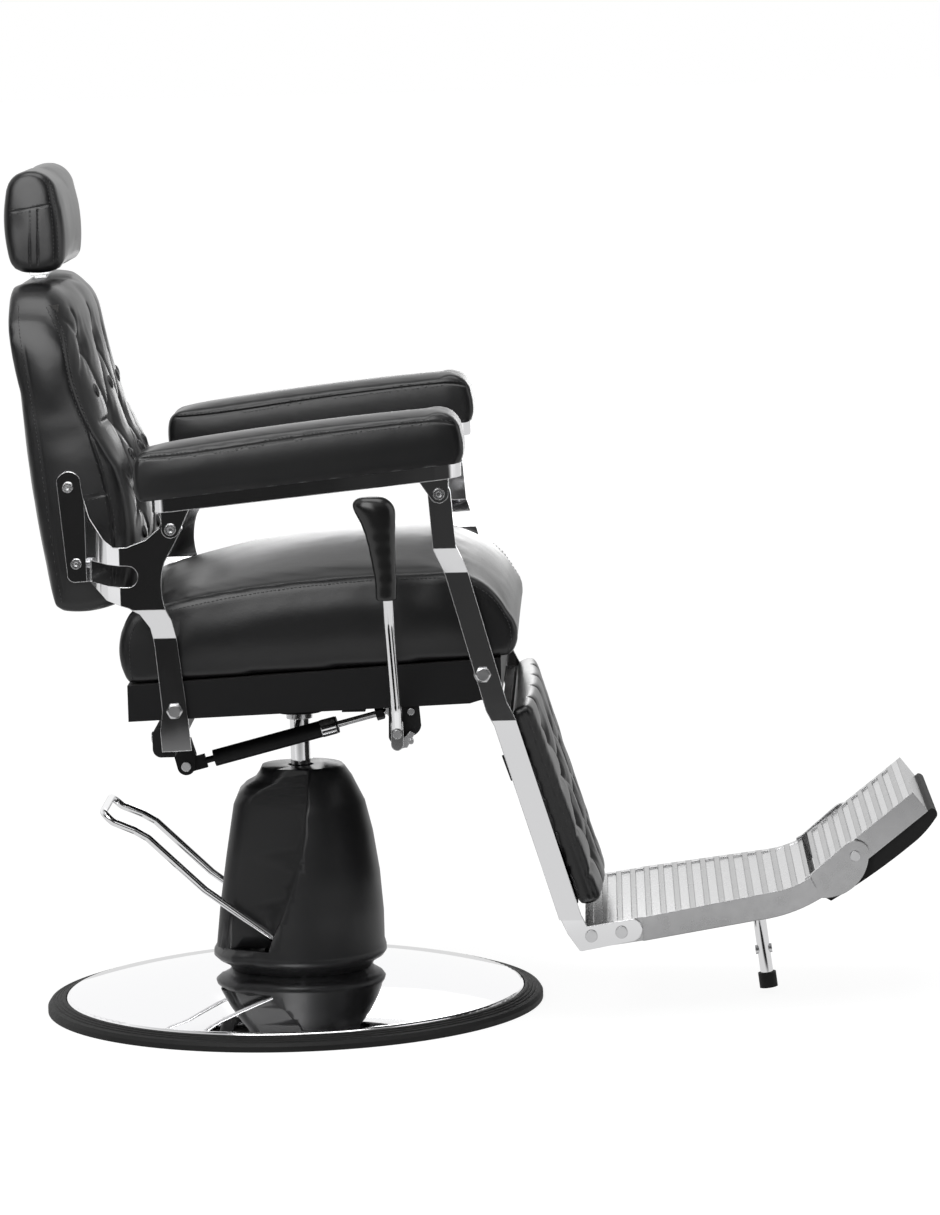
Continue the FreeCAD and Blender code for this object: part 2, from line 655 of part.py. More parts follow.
def seat_frame():
    """Welded steel tray: skirt on four sides and three cross members."""
    bottom_front = LEGREST_PIVOT[0] - 18
    skirt = [(FRAME_REAR_X, frame_bottom(FRAME_REAR_X)), (bottom_front, frame_bottom(bottom_front)),
             (bottom_front + 14, frame_bottom(bottom_front) + 4), (FRAME_FRONT_X, frame_bottom(bottom_front) + 5),
             (FRAME_FRONT_X, frame_top(FRAME_FRONT_X)), (FRAME_REAR_X, frame_top(FRAME_REAR_X))]
    outer = side_prism(skirt, -FRAME_HALF_WIDTH, FRAME_HALF_WIDTH)
    hollow_half = FRAME_HALF_WIDTH - FRAME_SHEET
    hollow = Part.makeBox(FRAME_FRONT_X - FRAME_REAR_X - 2 * FRAME_SHEET, 2 * hollow_half, 200,
                          V(FRAME_REAR_X + FRAME_SHEET, -hollow_half, 350))
    members = [member(x - MEMBER_WIDTH / 2, x + MEMBER_WIDTH / 2, MOUNT_TOP_Z) for x in MEMBER_X]
    members.append(member(SPRING_FRONT[0] - ANCHOR_MEMBER_HALF, SPRING_FRONT[0] + ANCHOR_MEMBER_HALF,
                          frame_bottom(SPRING_FRONT[0])))
    body = outer.cut(hollow).multiFuse(members)
    cuts = [cross_rod(point, -OUTSIDE_Y, OUTSIDE_Y, FRAME_BOLT_RADIUS + BOLT_GAP) for point in (BACK_PIVOT, LEGREST_PIVOT)]
    cuts += [rod(V(x, y, 400), V(x, y, 446), MOUNT_BOLT_RADIUS) for x, y in mount_bolt_places()]
    save("seat_frame", body.cut(group(cuts)))


def member(x_start, x_end, foot_z):
    """A cross member that reaches up to the seat pan."""
    lower = PAN_THICKNESS
    corners = [(x_start, foot_z), (x_end, foot_z), (x_end, frame_top(x_end) - lower), (x_start, frame_top(x_start) - lower)]
    half = FRAME_HALF_WIDTH - FRAME_SHEET
    return side_prism(corners, -half, half)


def mount_bolt_places():
    return [(x, y) for x in MEMBER_X for y in (-MOUNT_BOLT_Y, MOUNT_BOLT_Y)]


def seat_pan():
    """Plywood board let into the frame, flush with its top edge."""
    start = FRAME_REAR_X + FRAME_SHEET + SEAT_GAP
    end = FRAME_FRONT_X - FRAME_SHEET - SEAT_GAP
    corners = [(start, frame_top(start) - PAN_THICKNESS), (end, frame_top(end) - PAN_THICKNESS),
               (end, frame_top(end)), (start, frame_top(start))]
    half = FRAME_HALF_WIDTH - FRAME_SHEET - SEAT_GAP
    board = side_prism(corners, -half, half)
    notches = [cross_rod(LEGREST_PIVOT, side * (FRAME_HALF_WIDTH - 15), side * FRAME_HALF_WIDTH, 13) for side in (-1, 1)]
    save("seat_pan", board.cut(group(notches)))


def seat_outline(crown, rear_lift):
    """Side view of the cushion; crown lifts its top."""
    rear_foot = frame_top(-188) + SEAT_GAP
    front_foot = frame_top(303) + SEAT_GAP
    return [(-188, rear_foot), (-202, 508, 1), (-194, 546), (-187, 558 + rear_lift, 1), (-166, 567 + rear_lift),
            (20, 596 + crown, 1), (205, 603 + crown), (272, 588 + 0.7 * crown, 1), (304, 548 + 0.3 * crown),
            (315, 520, 1), (303, front_foot)]


def seat_cushion():
    """Crowned cushion with rounded rear and front and drawn-in sides."""
    cushion = crowned_loft(SEAT_HALF_WIDTH, SEAT_RIM, seat_outline(0, 0), seat_outline(27, 4))
    start = FRAME_REAR_X - 40
    end = FRAME_FRONT_X + 60
    below = side_prism([(start, frame_top(start) - 60), (end, frame_top(end) - 60), (end, frame_top(end) + SEAT_GAP),
                        (start, frame_top(start) + SEAT_GAP)], -OUTSIDE_Y, OUTSIDE_Y)
    save("seat_cushion", cushion.cut(below))


def swivel_mount():
    """Plate under the seat with the hub that turns on the ram."""
    centre = V(AXIS_X, 0, 0)
    hub = rod(centre + V(0, 0, COLLAR_Z[1] + SEAT_GAP), centre + V(0, 0, MOUNT_TOP_Z - MOUNT_THICKNESS), HUB_RADIUS)
    start = MEMBER_X[0] - 20
    plate = Part.makeBox(MEMBER_X[1] + 20 - start, 2 * MOUNT_HALF_WIDTH, MOUNT_THICKNESS,
                         V(start, -MOUNT_HALF_WIDTH, MOUNT_TOP_Z - MOUNT_THICKNESS))
    bore = rod(centre + V(0, 0, 380), centre + V(0, 0, 440), RAM_RADIUS + RUNNING_GAP)
    cuts = [bore] + [rod(V(x, y, 400), V(x, y, 440), MOUNT_BOLT_RADIUS + BOLT_GAP) for x, y in mount_bolt_places()]
    save("swivel_mount", hub.fuse(plate).cut(group(cuts)))


def mount_bolts():
    bolts = []
    for x, y in mount_bolt_places():
        foot = MOUNT_TOP_Z - MOUNT_THICKNESS
        bolts.append(hexagon(V(x, y, foot), V(0, 0, -1), 16, 6).fuse(rod(V(x, y, foot), V(x, y, 446), MOUNT_BOLT_RADIUS)))
    save("mount_bolts", group(bolts))


def frame_pivot_bolts():
    """Shoulder bolts of the back and the legrest, with a washer between frame and strap."""
    bolts = []
    for point in (BACK_PIVOT, LEGREST_PIVOT):
        head_y = STRAP_INNER_Y + STRAP_THICKNESS + LUG_GAP
        shank = cross_rod(point, -head_y, -(FRAME_HALF_WIDTH - 14), FRAME_BOLT_RADIUS)
        head = hexagon(V(point[0], -head_y, point[1]), V(0, -1, 0), 18.5, 6)
        washer = ring(V(point[0], -(STRAP_INNER_Y - LUG_GAP), point[1]), V(point[0], -FRAME_HALF_WIDTH, point[1]), 12,
                      FRAME_BOLT_RADIUS)
        nut = hexagon(V(point[0], -(FRAME_HALF_WIDTH - FRAME_SHEET), point[1]), Y_AXIS, 18.5, 9)
        right = shank.multiFuse([head, washer, nut])
        bolts += [right, mirrored(right)]
    save("frame_pivot_bolts", group(bolts))


# Back and its links

REAR_LINK_OUTLINE = [(-109, 669), (-113.2, 679.2, 1), (-123.3, 683.3), (-131, 681.5, 1), (-138, 671), (-156, 656),
                     (-181, 647), (-198, 646.5), (-213, 657), (-232, 681), (-240, 707), (-243, 730),
                     (-259, 739, 1), (-273, 727), (-263, 607), (-260.5, 599, 1), (-252, 596), (-233, 597), (-210, 578.5),
                     (-180, 569), (-166, 560), (-155, 541), (-151, 515), (-144, 432), (-147.5, 405), (-146, 379),
                     (-108.5, 380), (-111.5, 423), (-122, 520), (-127, 552), (-137, 585, 1), (-132.5, 627.2),
                     (-121, 647)]
REAR_LINK_PLAN = [(-290, -BACK_PLATE_Y), (-237, -BACK_PLATE_Y), (-216, -STRAP_MIDDLE_Y + 1.5),
                  (-205, -ARM_STRAP_MIDDLE_Y + 12.5), (-189, -ARM_STRAP_MIDDLE_Y),
                  (-80, -ARM_STRAP_MIDDLE_Y)]
REAR_STEP_Z = (567.0, 527.0)
FRONT_STEP_Z = (637.0, 603.0)


def rear_link():
    """Stamped side plate of the back: bent inwards behind, stepped inwards below."""
    plan = plan_prism(thick_line(REAR_LINK_PLAN, STRAP_THICKNESS), REAR_STEP_Z[0], 760)
    step = [(-ARM_STRAP_MIDDLE_Y, REAR_STEP_Z[0] + 12), (-ARM_STRAP_MIDDLE_Y, REAR_STEP_Z[0]),
            (-STRAP_MIDDLE_Y, REAR_STEP_Z[1]), (-STRAP_MIDDLE_Y, 360)]
    lower = front_prism(thick_line(step, STRAP_THICKNESS), -186, -80)
    shape = side_prism(REAR_LINK_OUTLINE, -OUTSIDE_Y, -BACK_HALF_WIDTH + 10)
    body = plan.common(shape).fuse(lower.common(shape)).removeSplitter()
    slot = strip([(-240, 612), (-180.5, 609.5)], 13.5, -OUTSIDE_Y, -BACK_PLATE_Y - 4.5)
    slot_keep = Part.makeBox(120, 2 * OUTSIDE_Y, 60, V(-232, -OUTSIDE_Y, 580))
    cuts = [slot.common(slot_keep), cross_rod(BACK_PIVOT, -OUTSIDE_Y, -STRAP_INNER_Y + 10, FRAME_BOLT_RADIUS + RUNNING_GAP),
            cross_rod(ARM_REAR_PIVOT, -OUTSIDE_Y, -ARM_STRAP_MIDDLE_Y + 10, ARM_BOLT_RADIUS + RUNNING_GAP)]
    cuts += [cross_rod(place, -BACK_PLATE_Y - 10, -BACK_PLATE_Y + 10, BACK_SCREW_RADIUS + BOLT_GAP) for place in BACK_SCREWS]
    save_pair("rear_link", body.cut(group(cuts)))


def back_screws():
    screws = []
    face = BACK_PLATE_Y + STRAP_THICKNESS / 2
    for place in BACK_SCREWS:
        head = cross_rod(place, -(face + 4), -face, 6.75)
        head = head.cut(cross_rod(place, -(face + 4), -(face + 2), 2.4))
        right = head.fuse(cross_rod(place, -face, -(BACK_HALF_WIDTH - 24), BACK_SCREW_RADIUS))
        screws += [right, mirrored(right)]
    save("back_screws", group(screws))


def rear_cross_bar():
    """Box section that ties the two rear links under the seat."""
    points = [(-146, CROSS_BAR_FOOT), (-130, CROSS_BAR_FOOT), (-130, 398), (-146, 410), (-156.5, 406), (-158.4, 399),
              (-158.4, 382), (-155, 374.5, 1)]
    bar = side_prism(points, -STRAP_INNER_Y, STRAP_INNER_Y)
    hollow = side_prism(shrunk(points, 4), -STRAP_INNER_Y, STRAP_INNER_Y)
    tabs = []
    for side in (-1, 1):
        start = side * STRAP_INNER_Y
        tabs.append(side_prism(points, start, start - side * 5))
    body = bar.cut(hollow).multiFuse(tabs)
    holes = [rod(V(-170, y, 390), V(-150, y, 390), 4 + BOLT_GAP) for y in (-CROSS_BOLT_Y, CROSS_BOLT_Y)]
    save("rear_cross_bar", body.cut(group(holes)))


def cross_bar_bolts():
    bolts = []
    for y in (-CROSS_BOLT_Y, CROSS_BOLT_Y):
        head = hexagon(V(-158.4, y, 390), V(-1, 0, 0), 13, 5.5)
        bolts.append(head.fuse(rod(V(-158.4, y, 390), V(-150, y, 390), 4)))
    save("cross_bar_bolts", group(bolts))


def spring_lug():
    """Two cheeks below the cross bar that hold the rear pin of the gas spring."""
    points = [(-146, CROSS_BAR_FOOT), (-143.5, 347), (-139.8, 332), (-128.6, 323.6, 1), (-117.4, 332), (-115.5, 350),
              (-122, CROSS_BAR_FOOT)]
    cheeks = []
    for start in (-SPRING_Y - SPRING_EYE_HALF - CHEEK_GAP - CHEEK_THICKNESS, -SPRING_Y + SPRING_EYE_HALF + CHEEK_GAP):
        cheek = side_prism(points, start, start + CHEEK_THICKNESS)
        cheeks.append(cheek.cut(cross_rod(SPRING_REAR, -130, -50, SPRING_PIN_RADIUS)))
    save("spring_lug", group(cheeks))


def spring_rear_pin():
    reach = SPRING_EYE_HALF + CHEEK_GAP + CHEEK_THICKNESS
    pin = cross_rod(SPRING_REAR, -SPRING_Y - reach, -SPRING_Y + reach, SPRING_PIN_RADIUS)
    heads = [cross_rod(SPRING_REAR, -SPRING_Y - reach - 2.5, -SPRING_Y - reach, 6.3),
             cross_rod(SPRING_REAR, -SPRING_Y + reach, -SPRING_Y + reach + 2.5, 6.3)]
    save("spring_rear_pin", pin.multiFuse(heads))


def back_outline_side():
    return [(-281, 561), (-305, 700, 1), (-318, 850), (-326.5, 925, 1), (-329, 967), (-325, 976.5, 1), (-314, 979),
            (-296, 979, 1), (-279, 975.5), (-260, 957, 1), (-250, 923), (-235, 836, 1), (-193, 746), (-179, 690, 1),
            (-177, 620), (-179, 590, 1), (-189, 569), (-225, 556, 1), (-262, 553), (-273, 555, 1)]


def back_outline_middle():
    return [(-281, 560), (-305, 700, 1), (-319, 850), (-327, 925, 1), (-329.5, 968), (-325.5, 977.5, 1), (-314, 980),
            (-292, 980, 1), (-270, 976.5), (-247, 957, 1), (-232, 923), (-211, 836, 1), (-180, 746), (-158, 680, 1),
            (-157, 620), (-166, 588, 1), (-189, 568), (-225, 555, 1), (-262, 551), (-273, 553, 1)]


TUFT_ROWS = [(896, (-150, -50, 50, 150)), (797, (-100, 0, 100)), (698, (-150, -50, 50, 150)), (622, (-100, 0, 100))]


def back_front_x(z):
    """X of the crowned front of the back at its middle."""
    points = [(620, -157), (665, -157.5), (700, -162), (746, -180), (785, -193.5), (836, -210.5), (880, -221), (923, -232)]
    for (z0, x0), (z1, x1) in zip(points, points[1:]):
        if z <= z1:
            return x0 + (x1 - x0) * (z - z0) / (z1 - z0)
    return points[-1][1]


def tuft_point(y, z):
    """A point of the crowned front."""
    return V(back_front_x(z) - BACK_CROWN * (y / (BACK_HALF_WIDTH - BACK_RIM)) ** 2, y, z)


def tuft_cutters():
    """Button dimples, and shallow pleats from each button to its neighbours in the next row."""
    cutters = []
    for row, (z, places) in enumerate(TUFT_ROWS):
        for y in places:
            cutters.append(Part.makeSphere(22, tuft_point(y, z) + V(11, 0, 0)))
            if row + 1 == len(TUFT_ROWS):
                continue
            lower_z, lower_places = TUFT_ROWS[row + 1]
            for lower_y in lower_places:
                if abs(lower_y - y) < 60:
                    start = tuft_point(y, z) + V(8, 0, 0)
                    end = tuft_point(lower_y, lower_z) + V(8, 0, 0)
                    cutters.append(rod(start, end, 13))
    return cutters


def back_shape():
    """Crowned between its sides, with the two top corners rounded as seen from in front."""
    shape = crowned_loft(BACK_HALF_WIDTH, BACK_RIM, back_outline_side(), back_outline_middle())
    for side in (-1, 1):
        start = side * (BACK_HALF_WIDTH - BACK_CORNER)
        low = BACK_TOP - BACK_CORNER
        size = BACK_CORNER + BACK_RIM
        waste = Part.makeBox(300, size, size, V(-400, min(start, start + side * size), low))
        kept = rod(V(-401, start, low), V(-99, start, low), BACK_CORNER)
        shape = shape.cut(waste.cut(kept))
    return shape


def board_point(z, across):
    """A point of the back board at a height, across its thickness."""
    lean = math.tan(math.radians(BOARD_LEAN))
    return BOARD_FOOT[0] - (z - BOARD_FOOT[1]) * lean + across, z


def board_shape(clearance):
    half = BOARD_THICKNESS / 2 + clearance
    tall = [board_point(596 - clearance, -half), board_point(596 - clearance, half), board_point(950 + clearance, half),
            board_point(950 + clearance, -half)]
    lug = [board_point(606 - clearance, -half), board_point(606 - clearance, half), board_point(732 + clearance, half),
           board_point(732 + clearance, -half)]
    reach = BACK_HALF_WIDTH + clearance
    half_board = BACK_HALF_WIDTH - BOARD_SET_IN + clearance
    return side_prism(tall, -half_board, half_board).fuse(side_prism(lug, -reach, reach))


def back_board():
    """Timber board inside the back; its side lugs take the screws of the rear links."""
    holes = []
    for place in BACK_SCREWS:
        holes.append(cross_rod(place, -BACK_HALF_WIDTH, -(BACK_HALF_WIDTH - 24), BACK_SCREW_RADIUS))
        holes.append(cross_rod(place, BACK_HALF_WIDTH, BACK_HALF_WIDTH - 24, BACK_SCREW_RADIUS))
    save("back_board", board_shape(0).common(Part.makeBox(400, 2 * BACK_HALF_WIDTH, 600, V(BOARD_FOOT[0] - 200, -BACK_HALF_WIDTH, BOARD_FOOT[1] - 100)))
         .cut(group(holes)))


def bar_place(shape):
    """Set a piece drawn upright at the origin onto the leaning line of the headrest bar."""
    placed = shape.copy()
    placed.Placement = FreeCAD.Placement(V(BAR_TOP_X, 0, BAR_TOP_Z), FreeCAD.Rotation(Y_AXIS, -BAR_LEAN))
    return placed


def upright_block(thickness, width, low, high):
    return Part.makeBox(thickness, width, high - low, V(-thickness / 2, -width / 2, low))


def back_cushion():
    """Crowned back with sewn tufts; hollow only where the board and the guide lie inside."""
    guide_size = (BAR_THICKNESS + 2 * GUIDE_WALL + 1, BAR_WIDTH + 2 * GUIDE_WALL + 1)
    guide_room = bar_place(upright_block(guide_size[0], guide_size[1], -GUIDE_DEPTH - 1, 20))
    flange_room = bar_place(upright_block(27, 61, -0.5, 20))
    cuts = [board_shape(SEAT_GAP), guide_room, flange_room] + tuft_cutters()
    shape = back_shape()
    for cutter in cuts:
        shape = shape.cut(cutter)
    save("back_cushion", shape)


def headrest_guide():
    body = upright_block(BAR_THICKNESS + 2 * GUIDE_WALL, BAR_WIDTH + 2 * GUIDE_WALL, -GUIDE_DEPTH, 0)
    flange = upright_block(26, 60, 0, GUIDE_FLANGE)
    slot = upright_block(BAR_THICKNESS + 0.6, BAR_WIDTH + 0.6, -GUIDE_DEPTH + GUIDE_WALL, GUIDE_FLANGE)
    save("headrest_guide", bar_place(body.fuse(flange).cut(slot)))


def headrest_bar():
    save("headrest_bar", bar_place(upright_block(BAR_THICKNESS, BAR_WIDTH, -BAR_DEPTH, BAR_RISE)))


def headrest_outline():
    return [(-318, 987), (-331, 994, 1), (-336.5, 1010), (-340, 1055, 1), (-336.5, 1095), (-330, 1110, 1), (-314, 1119.5),
            (-301, 1121, 1), (-287, 1118), (-274, 1107, 1), (-267.5, 1088), (-261, 1045, 1), (-261, 1010), (-265, 995, 1),
            (-277, 988), (-297, 986.3, 1)]


def headrest_cushion():
    shape = headrest_outline()
    cushion = crowned_loft(HEADREST_HALF_WIDTH, HEADREST_RIM, shape, shape)
    room = bar_place(upright_block(BAR_THICKNESS + 2 * SEAT_GAP, BAR_WIDTH + 2 * SEAT_GAP, -10, BAR_RISE + SEAT_GAP))
    save("headrest_cushion", cushion.cut(room))


# Armrests

def arm_outline(inset_top):
    """Side view of one armrest pad."""
    low, slope = ARM_BOTTOM_LINE
    return [(-156, low - 156 * slope), (-162.5, 711, 1), (-165, 718), (-166.7, 740, 1), (-166, 756), (-161.5, 767, 1),
            (-149, 773), (-112, 780 - inset_top), (45, 799.2 - inset_top, 1), (205, 813 - inset_top), (238, 809, 1),
            (250, 786), (252.5, 771, 1), (252, 757), (249.5, 750.5, 1), (241, low + 241 * slope)]


def armrest_pad():
    """Crowned pad with rounded edges."""
    pad = crowned_loft(ARM_HALF_WIDTH, ARM_RIM, arm_outline(3), arm_outline(0), -ARM_Y)
    low, slope = ARM_BOTTOM_LINE
    below = side_prism([(-250, 500), (350, 500), (350, low + 350 * slope), (-250, low - 250 * slope)], -OUTSIDE_Y, 0)
    save_pair("armrest_pad", pad.cut(below))


def racetrack(half_width, x_start, x_end):
    """Upright prism with round ends, wide enough to be trimmed above and below."""
    block = Part.makeBox(x_end - x_start - 2 * half_width, 2 * half_width, 300, V(x_start + half_width, -ARM_Y - half_width, 600))
    ends = [rod(V(x, -ARM_Y, 600), V(x, -ARM_Y, 900), half_width) for x in (x_start + half_width, x_end - half_width)]
    return block.multiFuse(ends)


def armrest_rail():
    """Pressed tray under the pad, open below, with the two lugs of the linkage."""
    base, base_slope = RAIL_BOTTOM_LINE
    top, top_slope = ARM_BOTTOM_LINE

    def band(low, high):
        return side_prism([(-250, base - 250 * base_slope + low), (350, base + 350 * base_slope + low),
                           (350, top + 350 * top_slope - high), (-250, top - 250 * top_slope - high)], -OUTSIDE_Y, 0)

    outer = racetrack(RAIL_HALF_WIDTH, RAIL_X[0], RAIL_X[1]).common(band(0, SEAT_GAP))
    hollow = racetrack(RAIL_HALF_WIDTH - RAIL_SHEET, RAIL_X[0] + RAIL_SHEET, RAIL_X[1] - RAIL_SHEET)
    tray = outer.cut(hollow.common(band(-5, SEAT_GAP + RAIL_TOP)))
    under = side_prism([(-250, 500), (350, 500), (350, top + 350 * top_slope - SEAT_GAP - 1),
                        (-250, top - 250 * top_slope - SEAT_GAP - 1)], -OUTSIDE_Y, 0)
    rear = [(-134.8, 669.2), (-123.3, 657.7, 1), (-112.8, 664.5), (-96, 700), (-96, 760), (-134.8, 760)]
    front = [(188, 730), (207.6, 700.6), (218, 694.4, 1), (229.8, 704), (231, 760), (188, 760)]
    lugs = [side_prism(points, -ARM_LUG_Y - STRAP_THICKNESS, -ARM_LUG_Y).common(under) for points in (rear, front)]
    body = tray.multiFuse(lugs)
    holes = [cross_rod(point, -OUTSIDE_Y, 0, ARM_BOLT_RADIUS + BOLT_GAP) for point in (ARM_REAR_PIVOT, ARM_FRONT_PIVOT)]
    save_pair("armrest_rail", body.cut(group(holes)))


def arm_bolt(point, nut_radius):
    """Socket screw through a lug and a link, with a round nut inside."""
    outer = ARM_LUG_Y + STRAP_THICKNESS
    inner = ARM_LUG_Y - STRAP_THICKNESS - 2 * LUG_GAP
    head = cross_rod(point, -outer - 5, -outer, 7.3).cut(cross_rod(point, -outer - 5, -outer - 2, 3.2))
    shank = cross_rod(point, -outer, -inner, ARM_BOLT_RADIUS)
    nut = cross_rod(point, -inner, -inner + 5, nut_radius)
    return head.multiFuse([shank, nut])


def arm_bolts():
    right = [arm_bolt(ARM_REAR_PIVOT, 7), arm_bolt(ARM_FRONT_PIVOT, 10)]
    save("arm_bolts", group(right + [mirrored(bolt) for bolt in right]))


# Legrest

def front_link():
    """One bent bar: armrest end, frame pivot, legrest side and the tongue on the footrest."""
    centres = [ARM_FRONT_PIVOT, (223, FRONT_STEP_Z[0]), (236, FRONT_STEP_Z[1]), (283, 428), BAR_BEND, BAR_FOOT]
    flat = strip(centres, STRAP_HALF_WIDTH - 0.5, -OUTSIDE_Y, 0)
    above = Part.makeBox(400, OUTSIDE_Y, 900, V(100, -OUTSIDE_Y, BAR_FOOT[1]))
    tongue = side_prism([(356, 141), (366, 119), (381.6, 96), (384, 95.6), (452, 107.6), (463, 122, 1), (452, 136.5),
                         (391.5, 127.8), (385.5, 141)], -OUTSIDE_Y, 0)
    shape = flat.common(above).fuse(tongue)
    profile = [(-ARM_STRAP_MIDDLE_Y, 760), (-ARM_STRAP_MIDDLE_Y, FRONT_STEP_Z[0]), (-STRAP_MIDDLE_Y, FRONT_STEP_Z[1]),
               (-STRAP_MIDDLE_Y, BAR_BEND[1] + 2), (-TONGUE_Y, BAR_FOOT[1]), (-TONGUE_Y, 60)]
    body = front_prism(thick_line(profile, STRAP_THICKNESS), 150, 520).common(shape)
    cuts = [cross_rod(ARM_FRONT_PIVOT, -OUTSIDE_Y, 0, ARM_BOLT_RADIUS + LINKAGE_GAP),
            cross_rod(LEGREST_PIVOT, -OUTSIDE_Y, 0, FRAME_BOLT_RADIUS + RUNNING_GAP)]
    cuts += [cross_rod(place, -TONGUE_Y - 10, -TONGUE_Y + 10, 3 + BOLT_GAP) for place in FOOT_SCREWS]
    save_pair("front_link", body.cut(group(cuts)))


FOOT_SCREWS = [(396.9, 115.4), (436.1, 119.6)]


def foot_screws():
    screws = []
    face = TONGUE_Y + STRAP_THICKNESS / 2
    for place in FOOT_SCREWS:
        head = cross_rod(place, -face - 3, -face, 8)
        right = head.fuse(cross_rod(place, -face, -face + STRAP_THICKNESS + FOOT_WALL, 3))
        screws += [right, mirrored(right)]
    save("foot_screws", group(screws))


def on_legrest(shape):
    """Set a piece drawn with X across, Y up the pad and Z out of its front onto the legrest."""
    up = V(LEG_PAD_TOP[0] - LEG_PAD_BOTTOM[0], 0, LEG_PAD_TOP[1] - LEG_PAD_BOTTOM[1]).normalize()
    out = V(up.z, 0, -up.x)
    matrix = FreeCAD.Matrix(0, up.x, out.x, LEG_PAD_BOTTOM[0],
                            1, up.y, out.y, 0,
                            0, up.z, out.z, LEG_PAD_BOTTOM[1],
                            0, 0, 0, 1)
    placed = shape.copy()
    placed.Placement = FreeCAD.Placement(matrix)
    return placed


PAD_LENGTH = math.hypot(LEG_PAD_TOP[0] - LEG_PAD_BOTTOM[0], LEG_PAD_TOP[1] - LEG_PAD_BOTTOM[1])
PAD_TUFTS = [(232, (-150, -50, 50, 150)), (172, (-100, 0, 100)), (112, (-125, -42, 42, 125)), (56, (-84, 0, 84))]


def pad_half(u):
    """Half-width of the pad at a distance up from its foot."""
    return LEG_PAD_BOTTOM_HALF + (LEG_PAD_TOP_HALF - LEG_PAD_BOTTOM_HALF) * u / PAD_LENGTH


def pad_rib(u, inset):
    """Cross-section of the pad: flat back, round shoulders, crowned front."""
    half = pad_half(u)
    shoulder = half - 13
    low = LEG_PAD_THICKNESS - 21
    high = LEG_PAD_THICKNESS - 8
    points = [(-half, 0), (-half, low), (-half + 4, high - 3.5, 1), (-shoulder, high), (0, LEG_PAD_THICKNESS, 1),
              (shoulder, high), (half - 4, high - 3.5, 1), (half, low), (half, 0)]
    return outline(shrunk(points, inset), u)


def pad_height(u, y):
    """Front surface of the pad above its back."""
    return LEG_PAD_THICKNESS - 8 * (y / (pad_half(u) - 13)) ** 2


def legrest_pad():
    """Crowned, tufted calf pad."""
    rim = LEG_PAD_RIM
    foot = [(rim * s, rim * (1 - math.sqrt(1 - (1 - s) ** 2))) for s in (0, 0.1, 0.3, 0.6, 1)]
    head = [(PAD_LENGTH - u, inset) for u, inset in foot[::-1]]
    middle = [(PAD_LENGTH * t, 0) for t in (0.1, 0.25, 0.5, 0.75, 0.9)]
    pad = loft([pad_rib(u, inset) for u, inset in foot + middle + head])
    cutters = []
    for row, (u, places) in enumerate(PAD_TUFTS):
        lower_u, lower_places = PAD_TUFTS[min(row + 1, len(PAD_TUFTS) - 1)]
        for y in places:
            cutters.append(Part.makeSphere(16, V(y, u, pad_height(u, y) + 10)))
            start = V(y, u, pad_height(u, y) + 7)
            for lower_y in lower_places:
                if lower_u < u and abs(lower_y - y) < 70:
                    cutters.append(rod(start, V(lower_y, lower_u, pad_height(lower_u, lower_y) + 7), 10))
    for cutter in cutters:
        pad = pad.cut(cutter)
    behind = Part.makeBox(4 * LEG_PAD_TOP_HALF, 2 * PAD_LENGTH, 50, V(-2 * LEG_PAD_TOP_HALF, -PAD_LENGTH / 2, -50))
    save("legrest_pad", on_legrest(pad.cut(behind)))


def legrest_board():
    """Plywood behind the pad."""
    inset = 8
    foot = pad_half(0) - inset
    head = pad_half(PAD_LENGTH) - inset
    corners = [(-foot, inset), (foot, inset), (head, PAD_LENGTH - inset), (-head, PAD_LENGTH - inset)]
    save("legrest_board", on_legrest(plan_prism(corners, -SEAT_GAP - LEG_BOARD_THICKNESS, -SEAT_GAP)))


def bar_inner_y(z):
    """Y of the inner face of the legrest bar at a height, at the sitter's right."""
    slope = (STRAP_MIDDLE_Y - TONGUE_Y) / (BAR_BEND[1] + 2 - BAR_FOOT[1])
    middle = TONGUE_Y + slope * (z - BAR_FOOT[1])
    return -middle + STRAP_THICKNESS / 2 * math.hypot(1, slope)


def bar_side(gap):
    """Everything outboard of a plane that lies a gap inside the inner face of the right-hand bar."""
    return front_prism([(-400, 0), (bar_inner_y(0) + gap, 0), (bar_inner_y(600) + gap, 600), (-400, 600)], 200, 500)


def legrest_tabs():
    """Four tabs that carry the board from the inner faces of the bars."""
    tabs = []
    back = -SEAT_GAP - LEG_BOARD_THICKNESS
    for u in TAB_PLACES:
        reach = pad_half(u) + 25
        flat = Part.makeBox(80, 36, TAB_SHEET, V(-reach, u - 18, back - TAB_SHEET))
        web = Part.makeBox(60, 36, 14, V(-reach, u - 18, back - 14))
        web = on_legrest(web).common(bar_side(TAB_SHEET))
        tab = on_legrest(flat).fuse(web).cut(bar_side(0))
        tabs += [tab, mirrored(tab)]
    save("legrest_tabs", group(tabs))


# Footrest

FOOT_TOP = [(389, 127.3), (633, 163.3), (660, 169.5, 1), (683, 180)]
FOOT_UNDER = [(697, 152.5), (660, 136, 1), (614, 127), (389, 97)]


def foot_plan(inset):
    """Plan of the footrest: level at the tongues, then narrowing to the toe."""
    slope = (FOOT_FRONT_HALF - FOOT_REAR_HALF) / (FOOT_FRONT_X - FOOT_REAR_X)
    front_half = FOOT_FRONT_HALF + slope * 20
    step = TONGUE_Y - STRAP_THICKNESS / 2
    start = 389 + inset
    return [(start, -step + inset), (FOOT_REAR_X + 8 + inset * 0, -step + inset), (FOOT_REAR_X + 8, -FOOT_REAR_HALF + inset),
            (FOOT_FRONT_X + 20, -front_half + inset), (FOOT_FRONT_X + 20, front_half - inset),
            (FOOT_REAR_X + 8, FOOT_REAR_HALF - inset), (FOOT_REAR_X + 8, step - inset), (start, step - inset)]


